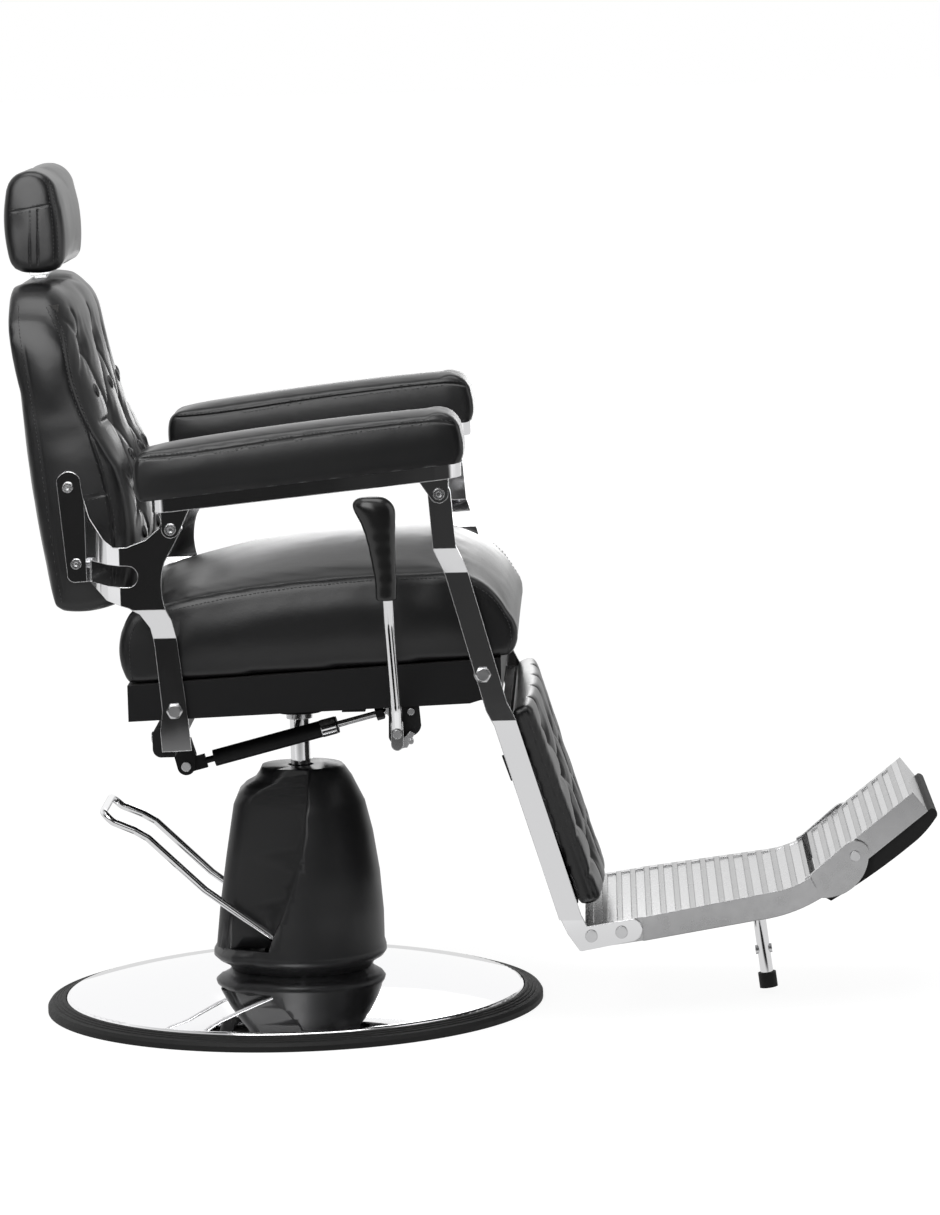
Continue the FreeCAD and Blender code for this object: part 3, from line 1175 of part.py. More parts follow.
def footrest():
    """Cast footrest: ribbed top, deep side walls, and an ear on each side for the toe plate."""
    side = side_prism(FOOT_TOP + FOOT_UNDER, -220, 220)
    body = side.common(plan_prism(foot_plan(0), 60, 260))
    hollow_side = side_prism([(380, 119), (633, 163.3 - FOOT_WALL), (660, 169.5 - FOOT_WALL, 1), (676, 176 - FOOT_WALL),
                              (690, 150), (690, 60), (380, 60)], -220, 220)
    body = body.cut(hollow_side.common(plan_prism(foot_plan(FOOT_WALL), 40, 260)))
    ear_points = [(676, 180), (683, 183.5), (729.5, 222.9), (741.3, 226.8, 1), (758.5, 216.9), (757, 194.5, 1),
                  (697, 152.5), (676, 143)]
    ear_y = FOOT_FRONT_HALF
    ears = []
    for side_sign in (-1, 1):
        ear = side_prism(ear_points, side_sign * ear_y, side_sign * (ear_y - EAR_THICKNESS))
        ears.append(ear.cut(cross_rod(TOE_PIVOT, -200, 200, TOE_SCREW_RADIUS)))
    body = body.multiFuse(ears)
    body = body.cut(group(foot_grooves()))
    holes = [cross_rod(place, -200, 200, 3) for place in FOOT_SCREWS]
    save("footrest", body.cut(group(holes)))


def foot_top(x):
    """Height of the footrest's top surface."""
    if x < 633:
        return 127.3 + (x - 389) * (163.3 - 127.3) / (633 - 389)
    return 163.3 + (x - 633) * 0.2 + (x - 633) ** 2 * 0.0027


def foot_grooves():
    """Cross grooves that leave the ribs standing."""
    grooves = []
    count = int((676 - 396) / RIB_PITCH)
    for i in range(count + 1):
        x = 400 + i * RIB_PITCH
        half = FOOT_REAR_HALF - 14 - max(x - FOOT_REAR_X, 0) * (FOOT_REAR_HALF - FOOT_FRONT_HALF) / (FOOT_FRONT_X - FOOT_REAR_X)
        groove_end = x + RIB_PITCH - RIB_WIDTH
        points = [(x, foot_top(x) - RIB_DEPTH), (groove_end, foot_top(groove_end) - RIB_DEPTH), (groove_end, foot_top(groove_end) + 5),
                  (x, foot_top(x) + 5)]
        if groove_end < 680:
            grooves.append(side_prism(points, -half, half))
    return grooves


def support_leg_line(distance):
    """A point along the support leg, measured down from the footrest."""
    lean = math.radians(LEG_LEAN)
    return V(LEG_TOP[0] + distance * math.sin(lean), 0, LEG_TOP[1] - distance * math.cos(lean))


def support_rod():
    start = support_leg_line(0)
    flange = rod(start, support_leg_line(4), 16)
    trimmed = flange.fuse(rod(start, support_leg_line(LEG_ROD_LENGTH), LEG_ROD_RADIUS))
    save("support_rod", trimmed)


def support_leg_tube():
    start, end = (support_leg_line(d) for d in LEG_TUBE_SPAN)
    tube = ring(start, end, LEG_TUBE_RADIUS, LEG_ROD_RADIUS + RUNNING_GAP)
    save("support_leg_tube", tube.cut(group([leg_screw_shape()])))


def leg_screw_shape():
    lean = math.radians(LEG_LEAN)
    across = V(math.cos(lean), 0, math.sin(lean))
    centre = support_leg_line(LEG_SCREW_AT)
    return rod(centre - across * 8.2, centre + across * 8.2, 4).cut(
        rod(support_leg_line(LEG_SCREW_AT - 12), support_leg_line(LEG_SCREW_AT + 12), LEG_ROD_RADIUS + RUNNING_GAP))


def support_screws():
    """Two set screws that clamp the tube on the rod."""
    lean = math.radians(LEG_LEAN)
    across = V(math.cos(lean), 0, math.sin(lean))
    centre = support_leg_line(LEG_SCREW_AT)
    tube_space = rod(support_leg_line(LEG_SCREW_AT - 12), support_leg_line(LEG_SCREW_AT + 12), LEG_TUBE_RADIUS)
    heads = [rod(centre + across * 5 * side, centre + across * 11 * side, 6).cut(tube_space) for side in (-1, 1)]
    save("support_screws", group([head.multiFuse([shank]) for head, shank in zip(heads, leg_screw_solids())]))


def leg_screw_solids():
    solids = leg_screw_shape().Solids
    solids.sort(key=lambda solid: solid.CenterOfMass.x)
    return solids


def support_foot():
    start, end = (support_leg_line(d) for d in LEG_FOOT_SPAN)
    foot = rod(start, end, LEG_FOOT_RADIUS)
    save("support_foot", foot.cut(rod(start, support_leg_line(LEG_TUBE_SPAN[1]), LEG_TUBE_RADIUS)))


# Toe plate

def toe(u, v):
    """X, Z of a point along the toe plate and above its top face."""
    turn = math.radians(TOE_ANGLE)
    return (TOE_START[0] + u * math.cos(turn) - v * math.sin(turn), TOE_START[1] + u * math.sin(turn) + v * math.cos(turn))


TOE_HALF = FOOT_FRONT_HALF - EAR_THICKNESS - TOE_SIDE_GAP


def toe_plate():
    """Cast toe plate with cross ribs, hollow below."""
    corners = [toe(0, 0), toe(TOE_LENGTH, 0), toe(TOE_LENGTH, -TOE_DEPTH), toe(0, -TOE_DEPTH)]
    body = side_prism(corners, -TOE_HALF, TOE_HALF)
    wall = TOE_WALL
    inner = [toe(wall, -wall), toe(TOE_LENGTH - wall, -wall), toe(TOE_LENGTH - wall, -TOE_DEPTH - 5), toe(wall, -TOE_DEPTH - 5)]
    body = body.cut(side_prism(inner, -TOE_HALF + wall, TOE_HALF - wall))
    grooves = []
    for i in range(int((TOE_LENGTH - 12) / RIB_PITCH * 1.1)):
        u = 7 + i * (RIB_PITCH - 1.6)
        points = [toe(u, -RIB_DEPTH), toe(u + 10, -RIB_DEPTH), toe(u + 10, 4), toe(u, 4)]
        grooves.append(side_prism(points, -TOE_HALF + 12, TOE_HALF - 12))
    bore = cross_rod(TOE_PIVOT, -200, 200, TOE_SCREW_RADIUS + RUNNING_GAP)
    save("toe_plate", body.cut(group(grooves + [bore])))


def toe_pad():
    """Rubber pad that closes the underside of the toe plate."""
    points = [toe(-11, -TOE_DEPTH), toe(-12.5, -38), toe(-10, -44.4), toe(58, -51.5) + (1,), toe(117, -53), toe(146, -50.5) + (1,),
              toe(163, -46), toe(170, -40) + (1,), toe(167, -TOE_DEPTH)]
    save("toe_pad", side_prism(points, -TOE_HALF + 2, TOE_HALF - 2))


def toe_screws():
    screws = []
    outer = FOOT_FRONT_HALF
    head = cross_rod(TOE_PIVOT, -outer - 3, -outer, 6.7)
    right = head.fuse(cross_rod(TOE_PIVOT, -outer, -TOE_HALF + TOE_WALL, TOE_SCREW_RADIUS))
    screws += [right, mirrored(right)]
    save("toe_screws", group(screws))


# Gas spring, drawn along +X from its rear pin and then set in place

def spring_place(shape):
    placed = shape.copy()
    placed.Placement = FreeCAD.Placement(V(SPRING_REAR[0], -SPRING_Y, SPRING_REAR[1]), FreeCAD.Rotation(Y_AXIS, -SPRING_ANGLE))
    return placed


def eye(at, radius, half):
    return rod(V(at, -half, 0), V(at, half, 0), radius)


def spring_cylinder():
    """Pressure tube with the rear eye."""
    start, end = SPRING_BODY_SPAN
    tube = rod(V(start, 0, 0), V(end, 0, 0), SPRING_BODY_RADIUS)
    neck = rod(V(24, 0, 0), V(start, 0, 0), SPRING_ROD_RADIUS)
    block = Part.makeBox(18, 2 * SPRING_EYE_HALF, 18, V(9, -SPRING_EYE_HALF, -9))
    body = tube.multiFuse([neck, block, eye(0, 9, SPRING_EYE_HALF), Part.makeBox(12, 2 * SPRING_EYE_HALF, 18, V(0, -SPRING_EYE_HALF, -9))])
    bore = rod(V(start + 8, 0, 0), V(end, 0, 0), SPRING_ROD_RADIUS + RUNNING_GAP)
    save("spring_cylinder", spring_place(body.cut(group([bore, eye(0, SPRING_PIN_RADIUS + RUNNING_GAP, 10)]))))


def spring_sleeve():
    """Bright end sleeve of the pressure tube."""
    end = SPRING_BODY_SPAN[1]
    save("spring_sleeve", spring_place(ring(V(end - 22, 0, 0), V(end - 2, 0, 0), SPRING_BODY_RADIUS + 0.6, SPRING_BODY_RADIUS)))


def spring_rod():
    """Piston rod with the lock nut and the front eye."""
    shaft = rod(V(100, 0, 0), V(SPRING_LENGTH - 8, 0, 0), SPRING_ROD_RADIUS)
    end_eye = eye(SPRING_LENGTH, 9.5, SPRING_EYE_HALF)
    body = shaft.fuse(end_eye).cut(eye(SPRING_LENGTH, SPRING_PIN_RADIUS + LINKAGE_GAP, 10))
    save("spring_rod", spring_place(body))


def spring_nut():
    nut = hexagon(V(SPRING_LENGTH - 27, 0, 0), V(1, 0, 0), 16, 11).cut(rod(V(200, 0, 0), V(SPRING_LENGTH, 0, 0), SPRING_ROD_RADIUS))
    save("spring_nut", spring_place(nut))


def spring_anchor():
    """Two cheeks under the front cross member and the pin of the gas spring."""
    x, z = SPRING_FRONT
    top = frame_bottom(x)
    points = [(x - 13, top), (x - 13, z), (x, z - 13, 1), (x + 13, z), (x + 13, top)]
    pieces = []
    for start in (-SPRING_Y - SPRING_EYE_HALF - CHEEK_GAP - CHEEK_THICKNESS, -SPRING_Y + SPRING_EYE_HALF + CHEEK_GAP):
        pieces.append(side_prism(points, start, start + CHEEK_THICKNESS))
    reach = SPRING_EYE_HALF + CHEEK_GAP + CHEEK_THICKNESS + 2
    pin = cross_rod(SPRING_FRONT, -SPRING_Y - reach, -SPRING_Y + reach, SPRING_PIN_RADIUS)
    save("spring_anchor", pin.multiFuse(pieces))


# Recline lever

def lever_bracket():
    """Plate inside the skirt that hangs down to the lever's pivot."""
    top = frame_bottom(160) + 22
    narrow = SPRING_FRONT[0] + ANCHOR_MEMBER_HALF + 2.5
    ledge = frame_bottom(narrow) - 1
    points = [(narrow, top), (184, top), (184, 430), (186, 404), (182, 396, 1), (173, 391), (165, 383), (156, 380, 1),
              (144, 390), (145, ledge), (narrow, ledge)]
    face = FRAME_HALF_WIDTH - FRAME_SHEET
    body = side_prism(points, -face, -face + 4)
    save("lever_bracket", body.cut(cross_rod(LEVER_PIVOT, -OUTSIDE_Y, 0, LEVER_PIN_RADIUS)))


def bracket_screws():
    face = FRAME_HALF_WIDTH - FRAME_SHEET
    screws = []
    for rise in (9.0, 17.0):
        screws.append(cross_rod((175.0, frame_bottom(160) + rise), -face + 4, -face + 7, 3.5))
    screws.append(cross_rod((173.5, 423.0), -face - 3.5, -face, 4.5))
    save("bracket_screws", group(screws))


def lever_pin():
    """Shoulder pin of the lever with its washer."""
    face = FRAME_HALF_WIDTH - FRAME_SHEET
    inner = LEVER_Y - LEVER_EYE_HALF - LUG_GAP
    outer = LEVER_Y + LEVER_EYE_HALF + LUG_GAP
    shank = cross_rod(LEVER_PIVOT, -outer, -face + 4, LEVER_PIN_RADIUS)
    spacer = cross_rod(LEVER_PIVOT, -inner, -face, 8)
    head = cross_rod(LEVER_PIVOT, -outer - 3, -outer, 6)
    save("lever_pin", shank.multiFuse([spacer, head]))


LEVER_PATH = [(155.8, LEVER_Y, 402), (155.5, LEVER_Y + 4, 432), (152.2, LEVER_GRIP_Y - 16, 548),
              (151.6, LEVER_GRIP_Y, 590), (151.3, LEVER_GRIP_Y, 650)]


def recline_lever():
    """Bent rod with a flattened eye at its foot."""
    points = [V(x, -y, z) for x, y, z in LEVER_PATH]
    bar = bent_rod(points, LEVER_ROD_RADIUS, 30)
    flat = strip([(LEVER_PIVOT[0], LEVER_PIVOT[1] + 12), LEVER_PIVOT, (155.4, 383)], 8.0, -LEVER_Y - LEVER_EYE_HALF,
                 -LEVER_Y + LEVER_EYE_HALF)
    room = cross_rod(LEVER_PIVOT, -OUTSIDE_Y, 0, LEVER_PIN_RADIUS + RUNNING_GAP)
    flat_room = cross_rod(LEVER_PIVOT, -LEVER_Y - LEVER_EYE_HALF, -LEVER_Y - LEVER_EYE_HALF - 12, 8)
    back_room = cross_rod(LEVER_PIVOT, -LEVER_Y + LEVER_EYE_HALF, -LEVER_Y + LEVER_EYE_HALF + 12, 10)
    save("recline_lever", bar.fuse(flat).cut(group([room, flat_room, back_room])))


GRIP_LEVELS = [(580, 150.2, 12.5, 12.5), (583, 150.2, 13.6, 13.6), (597, 150.5, 13.4, 13.4), (606, 150.4, 14.4, 14.2),
               (612, 149.8, 13.8, 13.6), (622, 148.9, 15.2, 14.4), (629, 148.2, 15.0, 14.2), (640, 147.4, 16.8, 15),
               (648, 146.6, 16.8, 14.6), (657, 145.6, 18.6, 15.6), (664, 144.8, 18.8, 15.2), (673, 143.6, 21.2, 16),
               (680, 142.3, 22.2, 16), (692, 139.4, 26.0, 16), (699, 137.2, 26.2, 15.4), (704, 135.6, 24.2, 14),
               (708, 134.6, 20.5, 11.5), (711, 134.0, 14.5, 8)]


def lever_grip():
    wires = []
    for z, x, half_x, half_y in GRIP_LEVELS:
        centre = V(x, -LEVER_GRIP_Y, z)
        if half_x > half_y:
            curve = Part.Ellipse(centre + V(half_x, 0, 0), centre + V(0, half_y, 0), centre)
        else:
            curve = Part.Circle(centre, Z_AXIS, half_x)
        wires.append(Part.Wire([curve.toShape()]))
    grip = loft(wires, True)
    points = [V(x, -y, z) for x, y, z in LEVER_PATH]
    save("lever_grip", grip.cut(bent_rod(points, LEVER_ROD_RADIUS, 30)))


def release_link():
    """Small link at the foot of the lever that works the valve of the gas spring."""
    inner = -LEVER_Y + LEVER_EYE_HALF
    plate = side_prism([(152, 376), (168, 378), (178, 396), (172, 399), (162, 388), (152, 388)], inner, inner + 2.5)
    stud = cross_rod((173, 386), inner - 4, inner + 7, 3.4)
    save("release_link", plate.fuse(stud))


def main():
    base_plate()
    base_trim_ring()
    pump_cylinder()
    pump_flange_bolts()
    ram_gland()
    lift_ram()
    ram_collar()
    pump_plunger()
    pump_cover()
    pump_pedal()
    pedal_yoke()
    pedal_pins()
    seat_frame()
    seat_pan()
    seat_cushion()
    swivel_mount()
    mount_bolts()
    frame_pivot_bolts()
    rear_link()
    back_screws()
    rear_cross_bar()
    cross_bar_bolts()
    spring_lug()
    spring_rear_pin()
    back_board()
    back_cushion()
    headrest_guide()
    headrest_bar()
    headrest_cushion()
    armrest_pad()
    armrest_rail()
    arm_bolts()
    front_link()
    foot_screws()
    legrest_pad()
    legrest_board()
    legrest_tabs()
    footrest()
    support_rod()
    support_leg_tube()
    support_screws()
    support_foot()
    toe_plate()
    toe_pad()
    toe_screws()
    spring_cylinder()
    spring_sleeve()
    spring_rod()
    spring_nut()
    spring_anchor()
    lever_bracket()
    bracket_screws()
    lever_pin()
    recline_lever()
    lever_grip()
    release_link()


main()
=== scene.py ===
"""Looks of the hydraulic barber chair around its fixed CAD frame. Metres."""
import bpy
import bmesh
import json
import math
import numpy as np
from mathutils import Matrix, Vector
from mathutils.bvhtree import BVHTree
from mathutils.kdtree import KDTree

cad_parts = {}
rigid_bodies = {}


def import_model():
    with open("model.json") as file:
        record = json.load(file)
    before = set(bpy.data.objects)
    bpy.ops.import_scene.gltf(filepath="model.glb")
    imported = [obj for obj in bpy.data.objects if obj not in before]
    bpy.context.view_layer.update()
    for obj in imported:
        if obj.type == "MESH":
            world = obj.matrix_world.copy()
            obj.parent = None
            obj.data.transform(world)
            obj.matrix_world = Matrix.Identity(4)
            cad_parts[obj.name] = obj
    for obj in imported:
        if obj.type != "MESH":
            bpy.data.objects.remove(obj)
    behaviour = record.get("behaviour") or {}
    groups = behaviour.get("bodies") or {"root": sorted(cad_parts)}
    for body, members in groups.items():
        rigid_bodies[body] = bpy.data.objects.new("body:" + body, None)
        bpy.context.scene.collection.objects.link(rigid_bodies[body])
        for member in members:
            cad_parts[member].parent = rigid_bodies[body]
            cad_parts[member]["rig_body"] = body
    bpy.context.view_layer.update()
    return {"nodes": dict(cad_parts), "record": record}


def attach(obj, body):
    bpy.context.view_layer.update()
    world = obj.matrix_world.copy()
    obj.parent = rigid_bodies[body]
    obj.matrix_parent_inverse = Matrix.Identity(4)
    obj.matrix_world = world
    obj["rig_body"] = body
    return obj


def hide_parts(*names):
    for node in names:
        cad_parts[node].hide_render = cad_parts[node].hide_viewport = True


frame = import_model()


# Materials

def shader(name, base, metallic=0.0, rough=0.4, specular=0.5):
    """A Principled material and the node tree to add detail to."""
    material = bpy.data.materials.new(name)
    material.use_nodes = True
    tree = material.node_tree
    surface = tree.nodes["Principled BSDF"]
    surface.inputs["Base Color"].default_value = (*base, 1.0)
    surface.inputs["Metallic"].default_value = metallic
    surface.inputs["Roughness"].default_value = rough
    surface.inputs["Specular IOR Level"].default_value = specular
    return material, tree, surface


def of_object(tree, what="Object"):
    """Object coordinates, or the object's own Normal."""
    return tree.nodes.new("ShaderNodeTexCoord").outputs[what]


def calculated(tree, operation, *values):
    """The result of a Math node. Each value is a socket or a number."""
    node = tree.nodes.new("ShaderNodeMath")
    node.operation = operation
    for socket, value in zip(node.inputs, values):
        if isinstance(value, float):
            socket.default_value = value
        else:
            tree.links.new(value, socket)
    return node.outputs["Value"]


def times(tree, a, b):
    return calculated(tree, "MULTIPLY", a, b)


def along(tree, vector, way):
    """How far a vector reaches along a direction."""
    node = tree.nodes.new("ShaderNodeVectorMath")
    node.operation = "DOT_PRODUCT"
    node.inputs[1].default_value = tuple(way)
    tree.links.new(vector, node.inputs[0])
    return node.outputs["Value"]


def noise(tree, vector, scale, detail=4.0):
    texture = tree.nodes.new("ShaderNodeTexNoise")
    texture.inputs["Scale"].default_value = scale
    texture.inputs["Detail"].default_value = detail
    tree.links.new(vector, texture.inputs["Vector"])
    return texture.outputs["Fac"]


def spread(tree, value, low, high):
    """A texture value stretched from low to high."""
    ramp = tree.nodes.new("ShaderNodeMapRange")
    ramp.inputs["To Min"].default_value = low
    ramp.inputs["To Max"].default_value = high
    tree.links.new(value, ramp.inputs["Value"])
    return ramp.outputs["Result"]


def tint(tree, value, dark, light):
    mix = tree.nodes.new("ShaderNodeMix")
    mix.data_type = "RGBA"
    mix.inputs["A"].default_value = (*dark, 1.0)
    mix.inputs["B"].default_value = (*light, 1.0)
    tree.links.new(value, mix.inputs["Factor"])
    return mix.outputs["Result"]


def bump(tree, surface, height, distance, strength=1.0, below=None):
    node = tree.nodes.new("ShaderNodeBump")
    node.inputs["Distance"].default_value = distance
    node.inputs["Strength"].default_value = strength
    tree.links.new(height, node.inputs["Height"])
    if below is not None:
        tree.links.new(below, node.inputs["Normal"])
    tree.links.new(node.outputs["Normal"], surface.inputs["Normal"])
    return node.outputs["Normal"]


def softened_edges(tree, surface, radius):
    """Edges catch the light as if slightly rounded."""
    node = tree.nodes.new("ShaderNodeBevel")
    node.samples = 4
    node.inputs["Radius"].default_value = radius
    tree.links.new(node.outputs["Normal"], surface.inputs["Normal"])
    return node.outputs["Normal"]


def uneven_gloss(tree, surface, texture, low, high):
    tree.links.new(spread(tree, texture, low, high), surface.inputs["Roughness"])


def metal(name, base, rough_low, rough_high, ripple=0.0):
    material, tree, surface = shader(name, base, metallic=1.0)
    edges = softened_edges(tree, surface, 0.0014)
    vector = of_object(tree)
    uneven_gloss(tree, surface, noise(tree, vector, 60.0), rough_low, rough_high)
    if ripple:
        bump(tree, surface, noise(tree, vector, 9.0, 1.0), ripple, 1.0, edges)
    return material


def leather(name, base):
    """Fine pebbled grain over soft creases."""
    material, tree, surface = shader(name, base, rough=0.32, specular=0.55)
    vector = of_object(tree)
    cells = tree.nodes.new("ShaderNodeTexVoronoi")
    cells.inputs["Scale"].default_value = 520.0
    cells.feature = "DISTANCE_TO_EDGE"
    tree.links.new(vector, cells.inputs["Vector"])
    soft = noise(tree, vector, 26.0, 3.0)
    uneven_gloss(tree, surface, noise(tree, vector, 14.0, 5.0), 0.27, 0.36)
    dark, light = (tuple(c * share for c in base) for share in (0.8, 1.25))
    tree.links.new(tint(tree, noise(tree, vector, 5.0, 4.0), dark, light), surface.inputs["Base Color"])
    first = bump(tree, surface, soft, 0.0010, 0.4)
    bump(tree, surface, cells.outputs["Distance"], 0.00012, 0.5, first)
    return material


def paint(name, base, rough, specular=0.5):
    """Painted or moulded surface with a slight orange peel."""
    material, tree, surface = shader(name, base, rough=rough, specular=specular)
    vector = of_object(tree)
    uneven_gloss(tree, surface, noise(tree, vector, 40.0), rough * 0.9, rough * 1.15)
    edges = softened_edges(tree, surface, 0.0012)
    bump(tree, surface, noise(tree, vector, 900.0, 2.0), 0.0001, 0.4, edges)
    return material


def rubber(name, base):
    material, tree, surface = shader(name, base, rough=0.62, specular=0.3)
    vector = of_object(tree)
    uneven_gloss(tree, surface, noise(tree, vector, 120.0), 0.52, 0.7)
    bump(tree, surface, noise(tree, vector, 1400.0, 2.0), 0.0001, 0.5)
    return material


def between_lines(tree, start, way, pitch):
    """Share of the way from one cross line to the next, in object coordinates."""
    passed = along(tree, of_object(tree), way / pitch)
    return calculated(tree, "FRACT", calculated(tree, "SUBTRACT", passed, start.dot(way) / pitch))


def facing(tree, way):
    """1 where the surface looks along a direction of the object, 0 where it turns away from it."""
    ramp = tree.nodes.new("ShaderNodeMapRange")
    ramp.inputs["From Min"].default_value = 0.6
    ramp.inputs["From Max"].default_value = 0.9
    tree.links.new(along(tree, of_object(tree, "Normal"), way), ramp.inputs["Value"])
    return ramp.outputs["Result"]


def casting_with_painted_groove_shade(name, base, node, start, way, up, pitch, valley):
    """Polished casting with painted shade in bands along its ribs and grooves, on faces that look up. Valley
    is the groove's share of the pitch.
    """
    material = metal(name, base, 0.2, 0.32)
    tree = material.node_tree
    back = node.matrix_world.inverted()
    turn = back.to_3x3()
    share = between_lines(tree, back @ Vector(start), (turn @ Vector(way)).normalized(), pitch)
    groove_shade_ramp = tree.nodes.new("ShaderNodeValToRGB")
    band = groove_shade_ramp.color_ramp
    # Painted shade: the colour falls to about a third at the start of each pitch and at the valley, and
    # stays near two thirds from the valley to the end of the pitch
    stops = [(0.0, 0.34), (0.05, 1.0), (valley - 0.05, 1.0), (valley - 0.015, 0.30), (valley + 0.04, 0.62),
             (0.96, 0.66), (1.0, 0.34)]
    band.elements[0].position, band.elements[1].position = stops[0][0], stops[-1][0]
    for position, _ in stops[1:-1]:
        band.elements.new(position)
    for element, (_, level) in zip(band.elements, stops):
        element.color = (*(c * level for c in base), 1.0)
    tree.links.new(share, groove_shade_ramp.inputs["Fac"])
    mix = tree.nodes.new("ShaderNodeMix")
    mix.data_type = "RGBA"
    mix.inputs["A"].default_value = (*base, 1.0)
    tree.links.new(groove_shade_ramp.outputs["Color"], mix.inputs["B"])
    # Only faces that look up get the painted groove shade
    tree.links.new(facing(tree, (turn @ Vector(up)).normalized()), mix.inputs["Factor"])
    tree.links.new(mix.outputs["Result"], tree.nodes["Principled BSDF"].inputs["Base Color"])
    return material


CASTING = (0.57, 0.57, 0.575)
MATERIALS = {
    "base_chrome": metal("chrome of the base", (0.93, 0.93, 0.94), 0.02, 0.05),
    "bright_chrome": metal("chrome", (0.88, 0.88, 0.89), 0.05, 0.09, ripple=0.0008),
    "cast_aluminium": metal("polished casting", CASTING, 0.2, 0.32),
    "steel": metal("plated steel", (0.72, 0.72, 0.73), 0.18, 0.3),
    "bronze": metal("turned bronze", (0.7, 0.48, 0.24), 0.2, 0.35),
    "black_paint": paint("black enamel", (0.0065, 0.0065, 0.007), 0.45, 0.2),
    "black_cover": paint("black moulding", (0.014, 0.014, 0.015), 0.34),
    "black_leather": leather("black leather", (0.0065, 0.0065, 0.007)),
    "black_rubber": rubber("black rubber", (0.008, 0.008, 0.008)),
    "grip_plastic": paint("black grip", (0.01, 0.01, 0.01), 0.2),
    # The boards are coloured near black instead of wood: painted shade where they show in the gap between
    # cushion and frame
    "plywood": paint("board darkened as painted gap shade", (0.012, 0.011, 0.010), 0.6),
    "thread": paint("black thread", (0.035, 0.035, 0.036), 0.5),
}


RIB_PITCH = 0.019
TOE_RIB_PITCH = 0.0174
TOE_RISE = math.radians(38.1)
TOE_WAY = (math.cos(TOE_RISE), 0, math.sin(TOE_RISE))
TOE_FIRST_GROOVE = (0.690 + 0.007 * TOE_WAY[0], 0, 0.188 + 0.007 * TOE_WAY[2])


def dress_frame():
    """Give every CAD node the finish of its slot."""
    slots = {row["node"]: row["material_slot"] for row in frame["record"]["subparts"]}
    for name, node in frame["nodes"].items():
        node.data.materials.clear()
        node.data.materials.append(MATERIALS[slots[name]])
    # The footrest and toe plate get painted shade along their ribs and grooves
    for name, start, way, pitch, valley in (
            ("footrest", (0.400, 0, 0), (1, 0, 0), RIB_PITCH, 0.63),
            ("toe_plate", TOE_FIRST_GROOVE, TOE_WAY, TOE_RIB_PITCH, 0.575)):
        node = frame["nodes"][name]
        up = (-way[2], 0, way[0])
        groove_shaded = casting_with_painted_groove_shade(f"ribbed {name}", CASTING, node, start, way, up, pitch, valley)
        node.data.materials[0] = groove_shaded


# Soft pieces. Outlines are in millimetres, X and Z, a third value marks the middle of an arc.

RIM_STEPS = (0.0, 0.03, 0.08, 0.16, 0.27, 0.42, 0.6, 0.8, 1.0)
SPLIT_REACH = 0.004
GROOVE_REACH = 0.006
SETTLING_FRAMES = 20
STITCH, STITCH_GAP, THREAD_RADIUS = 0.0036, 0.0018, 0.00055
BUTTON_RADIUS = 0.0095


def arc_through(a, b, c, count):
    """Points on the arc from a to c through b, without c itself."""
    (ax, az), (bx, bz), (cx, cz) = a, b, c
    twice = 2 * (ax * (bz - cz) + bx * (cz - az) + cx * (az - bz))
    if abs(twice) < 1e-6:
        return [(ax + (cx - ax) * i / count, az + (cz - az) * i / count) for i in range(count)]
    a2, b2, c2 = ax * ax + az * az, bx * bx + bz * bz, cx * cx + cz * cz
    mx = (a2 * (bz - cz) + b2 * (cz - az) + c2 * (az - bz)) / twice
    mz = (a2 * (cx - bx) + b2 * (ax - cx) + c2 * (bx - ax)) / twice
    radius = math.hypot(ax - mx, az - mz)
    start = math.atan2(az - mz, ax - mx)
    via = (math.atan2(bz - mz, bx - mx) - start) % math.tau
    end = (math.atan2(cz - mz, cx - mx) - start) % math.tau
    if via > end:
        end -= math.tau
    turns = [start + end * i / count for i in range(count)]
    return [(mx + radius * math.cos(turn), mz + radius * math.sin(turn)) for turn in turns]


def outline(points, counts=None, step=9.0):
    """Closed outline as evenly spaced points. Counts keeps several outlines in step."""
    spans = []
    total = len(points)
    i = 0
    while i < total:
        following = (i + 1) % total
        if len(points[following]) == 3:
            spans.append((points[i][:2], points[following][:2], points[(i + 2) % total][:2]))
            i += 2
        else:
            spans.append((points[i][:2], None, points[following][:2]))
            i += 1
    if counts is None:
        counts = [max(2, round(math.dist(a, c) / step)) for a, b, c in spans]
    placed = []
    for (a, b, c), count in zip(spans, counts):
        if b is None:
            b = ((a[0] + c[0]) / 2, (a[1] + c[1]) / 2)
        placed += arc_through(a, b, c, count)
    return placed, counts


def shrunk(points, inset):
    xs = [p[0] for p in points]
    zs = [p[1] for p in points]
    mx, mz = (min(xs) + max(xs)) / 2, (min(zs) + max(zs)) / 2
    kx, kz = 1 - 2 * inset / (max(xs) - min(xs)), 1 - 2 * inset / (max(zs) - min(zs))
    return [(mx + (p[0] - mx) * kx, mz + (p[1] - mz) * kz) for p in points]


def rim_inset(radius, depth):
    """How far a round rim of this radius is drawn in at a depth from the side."""
    return radius - math.sqrt(radius ** 2 - (radius - depth) ** 2) if depth < radius else 0.0


def drawn_apart(points, front, rear):
    """Like shrunk, with one inset in front and another behind, above and below."""
    xs = [p[0] for p in points]
    zs = [p[1] for p in points]
    mx, mz = (min(xs) + max(xs)) / 2, (min(zs) + max(zs)) / 2
    half = (max(xs) - min(xs)) / 2
    tall = 1 - 2 * rear / (max(zs) - min(zs))
    placed = []
    for x, z in points:
        share = (x - mx) / half
        inset = front * max(share, 0.0) ** 0.7 if share > 0 else rear * share
        placed.append((x - inset, mz + (z - mz) * tall))
    return placed


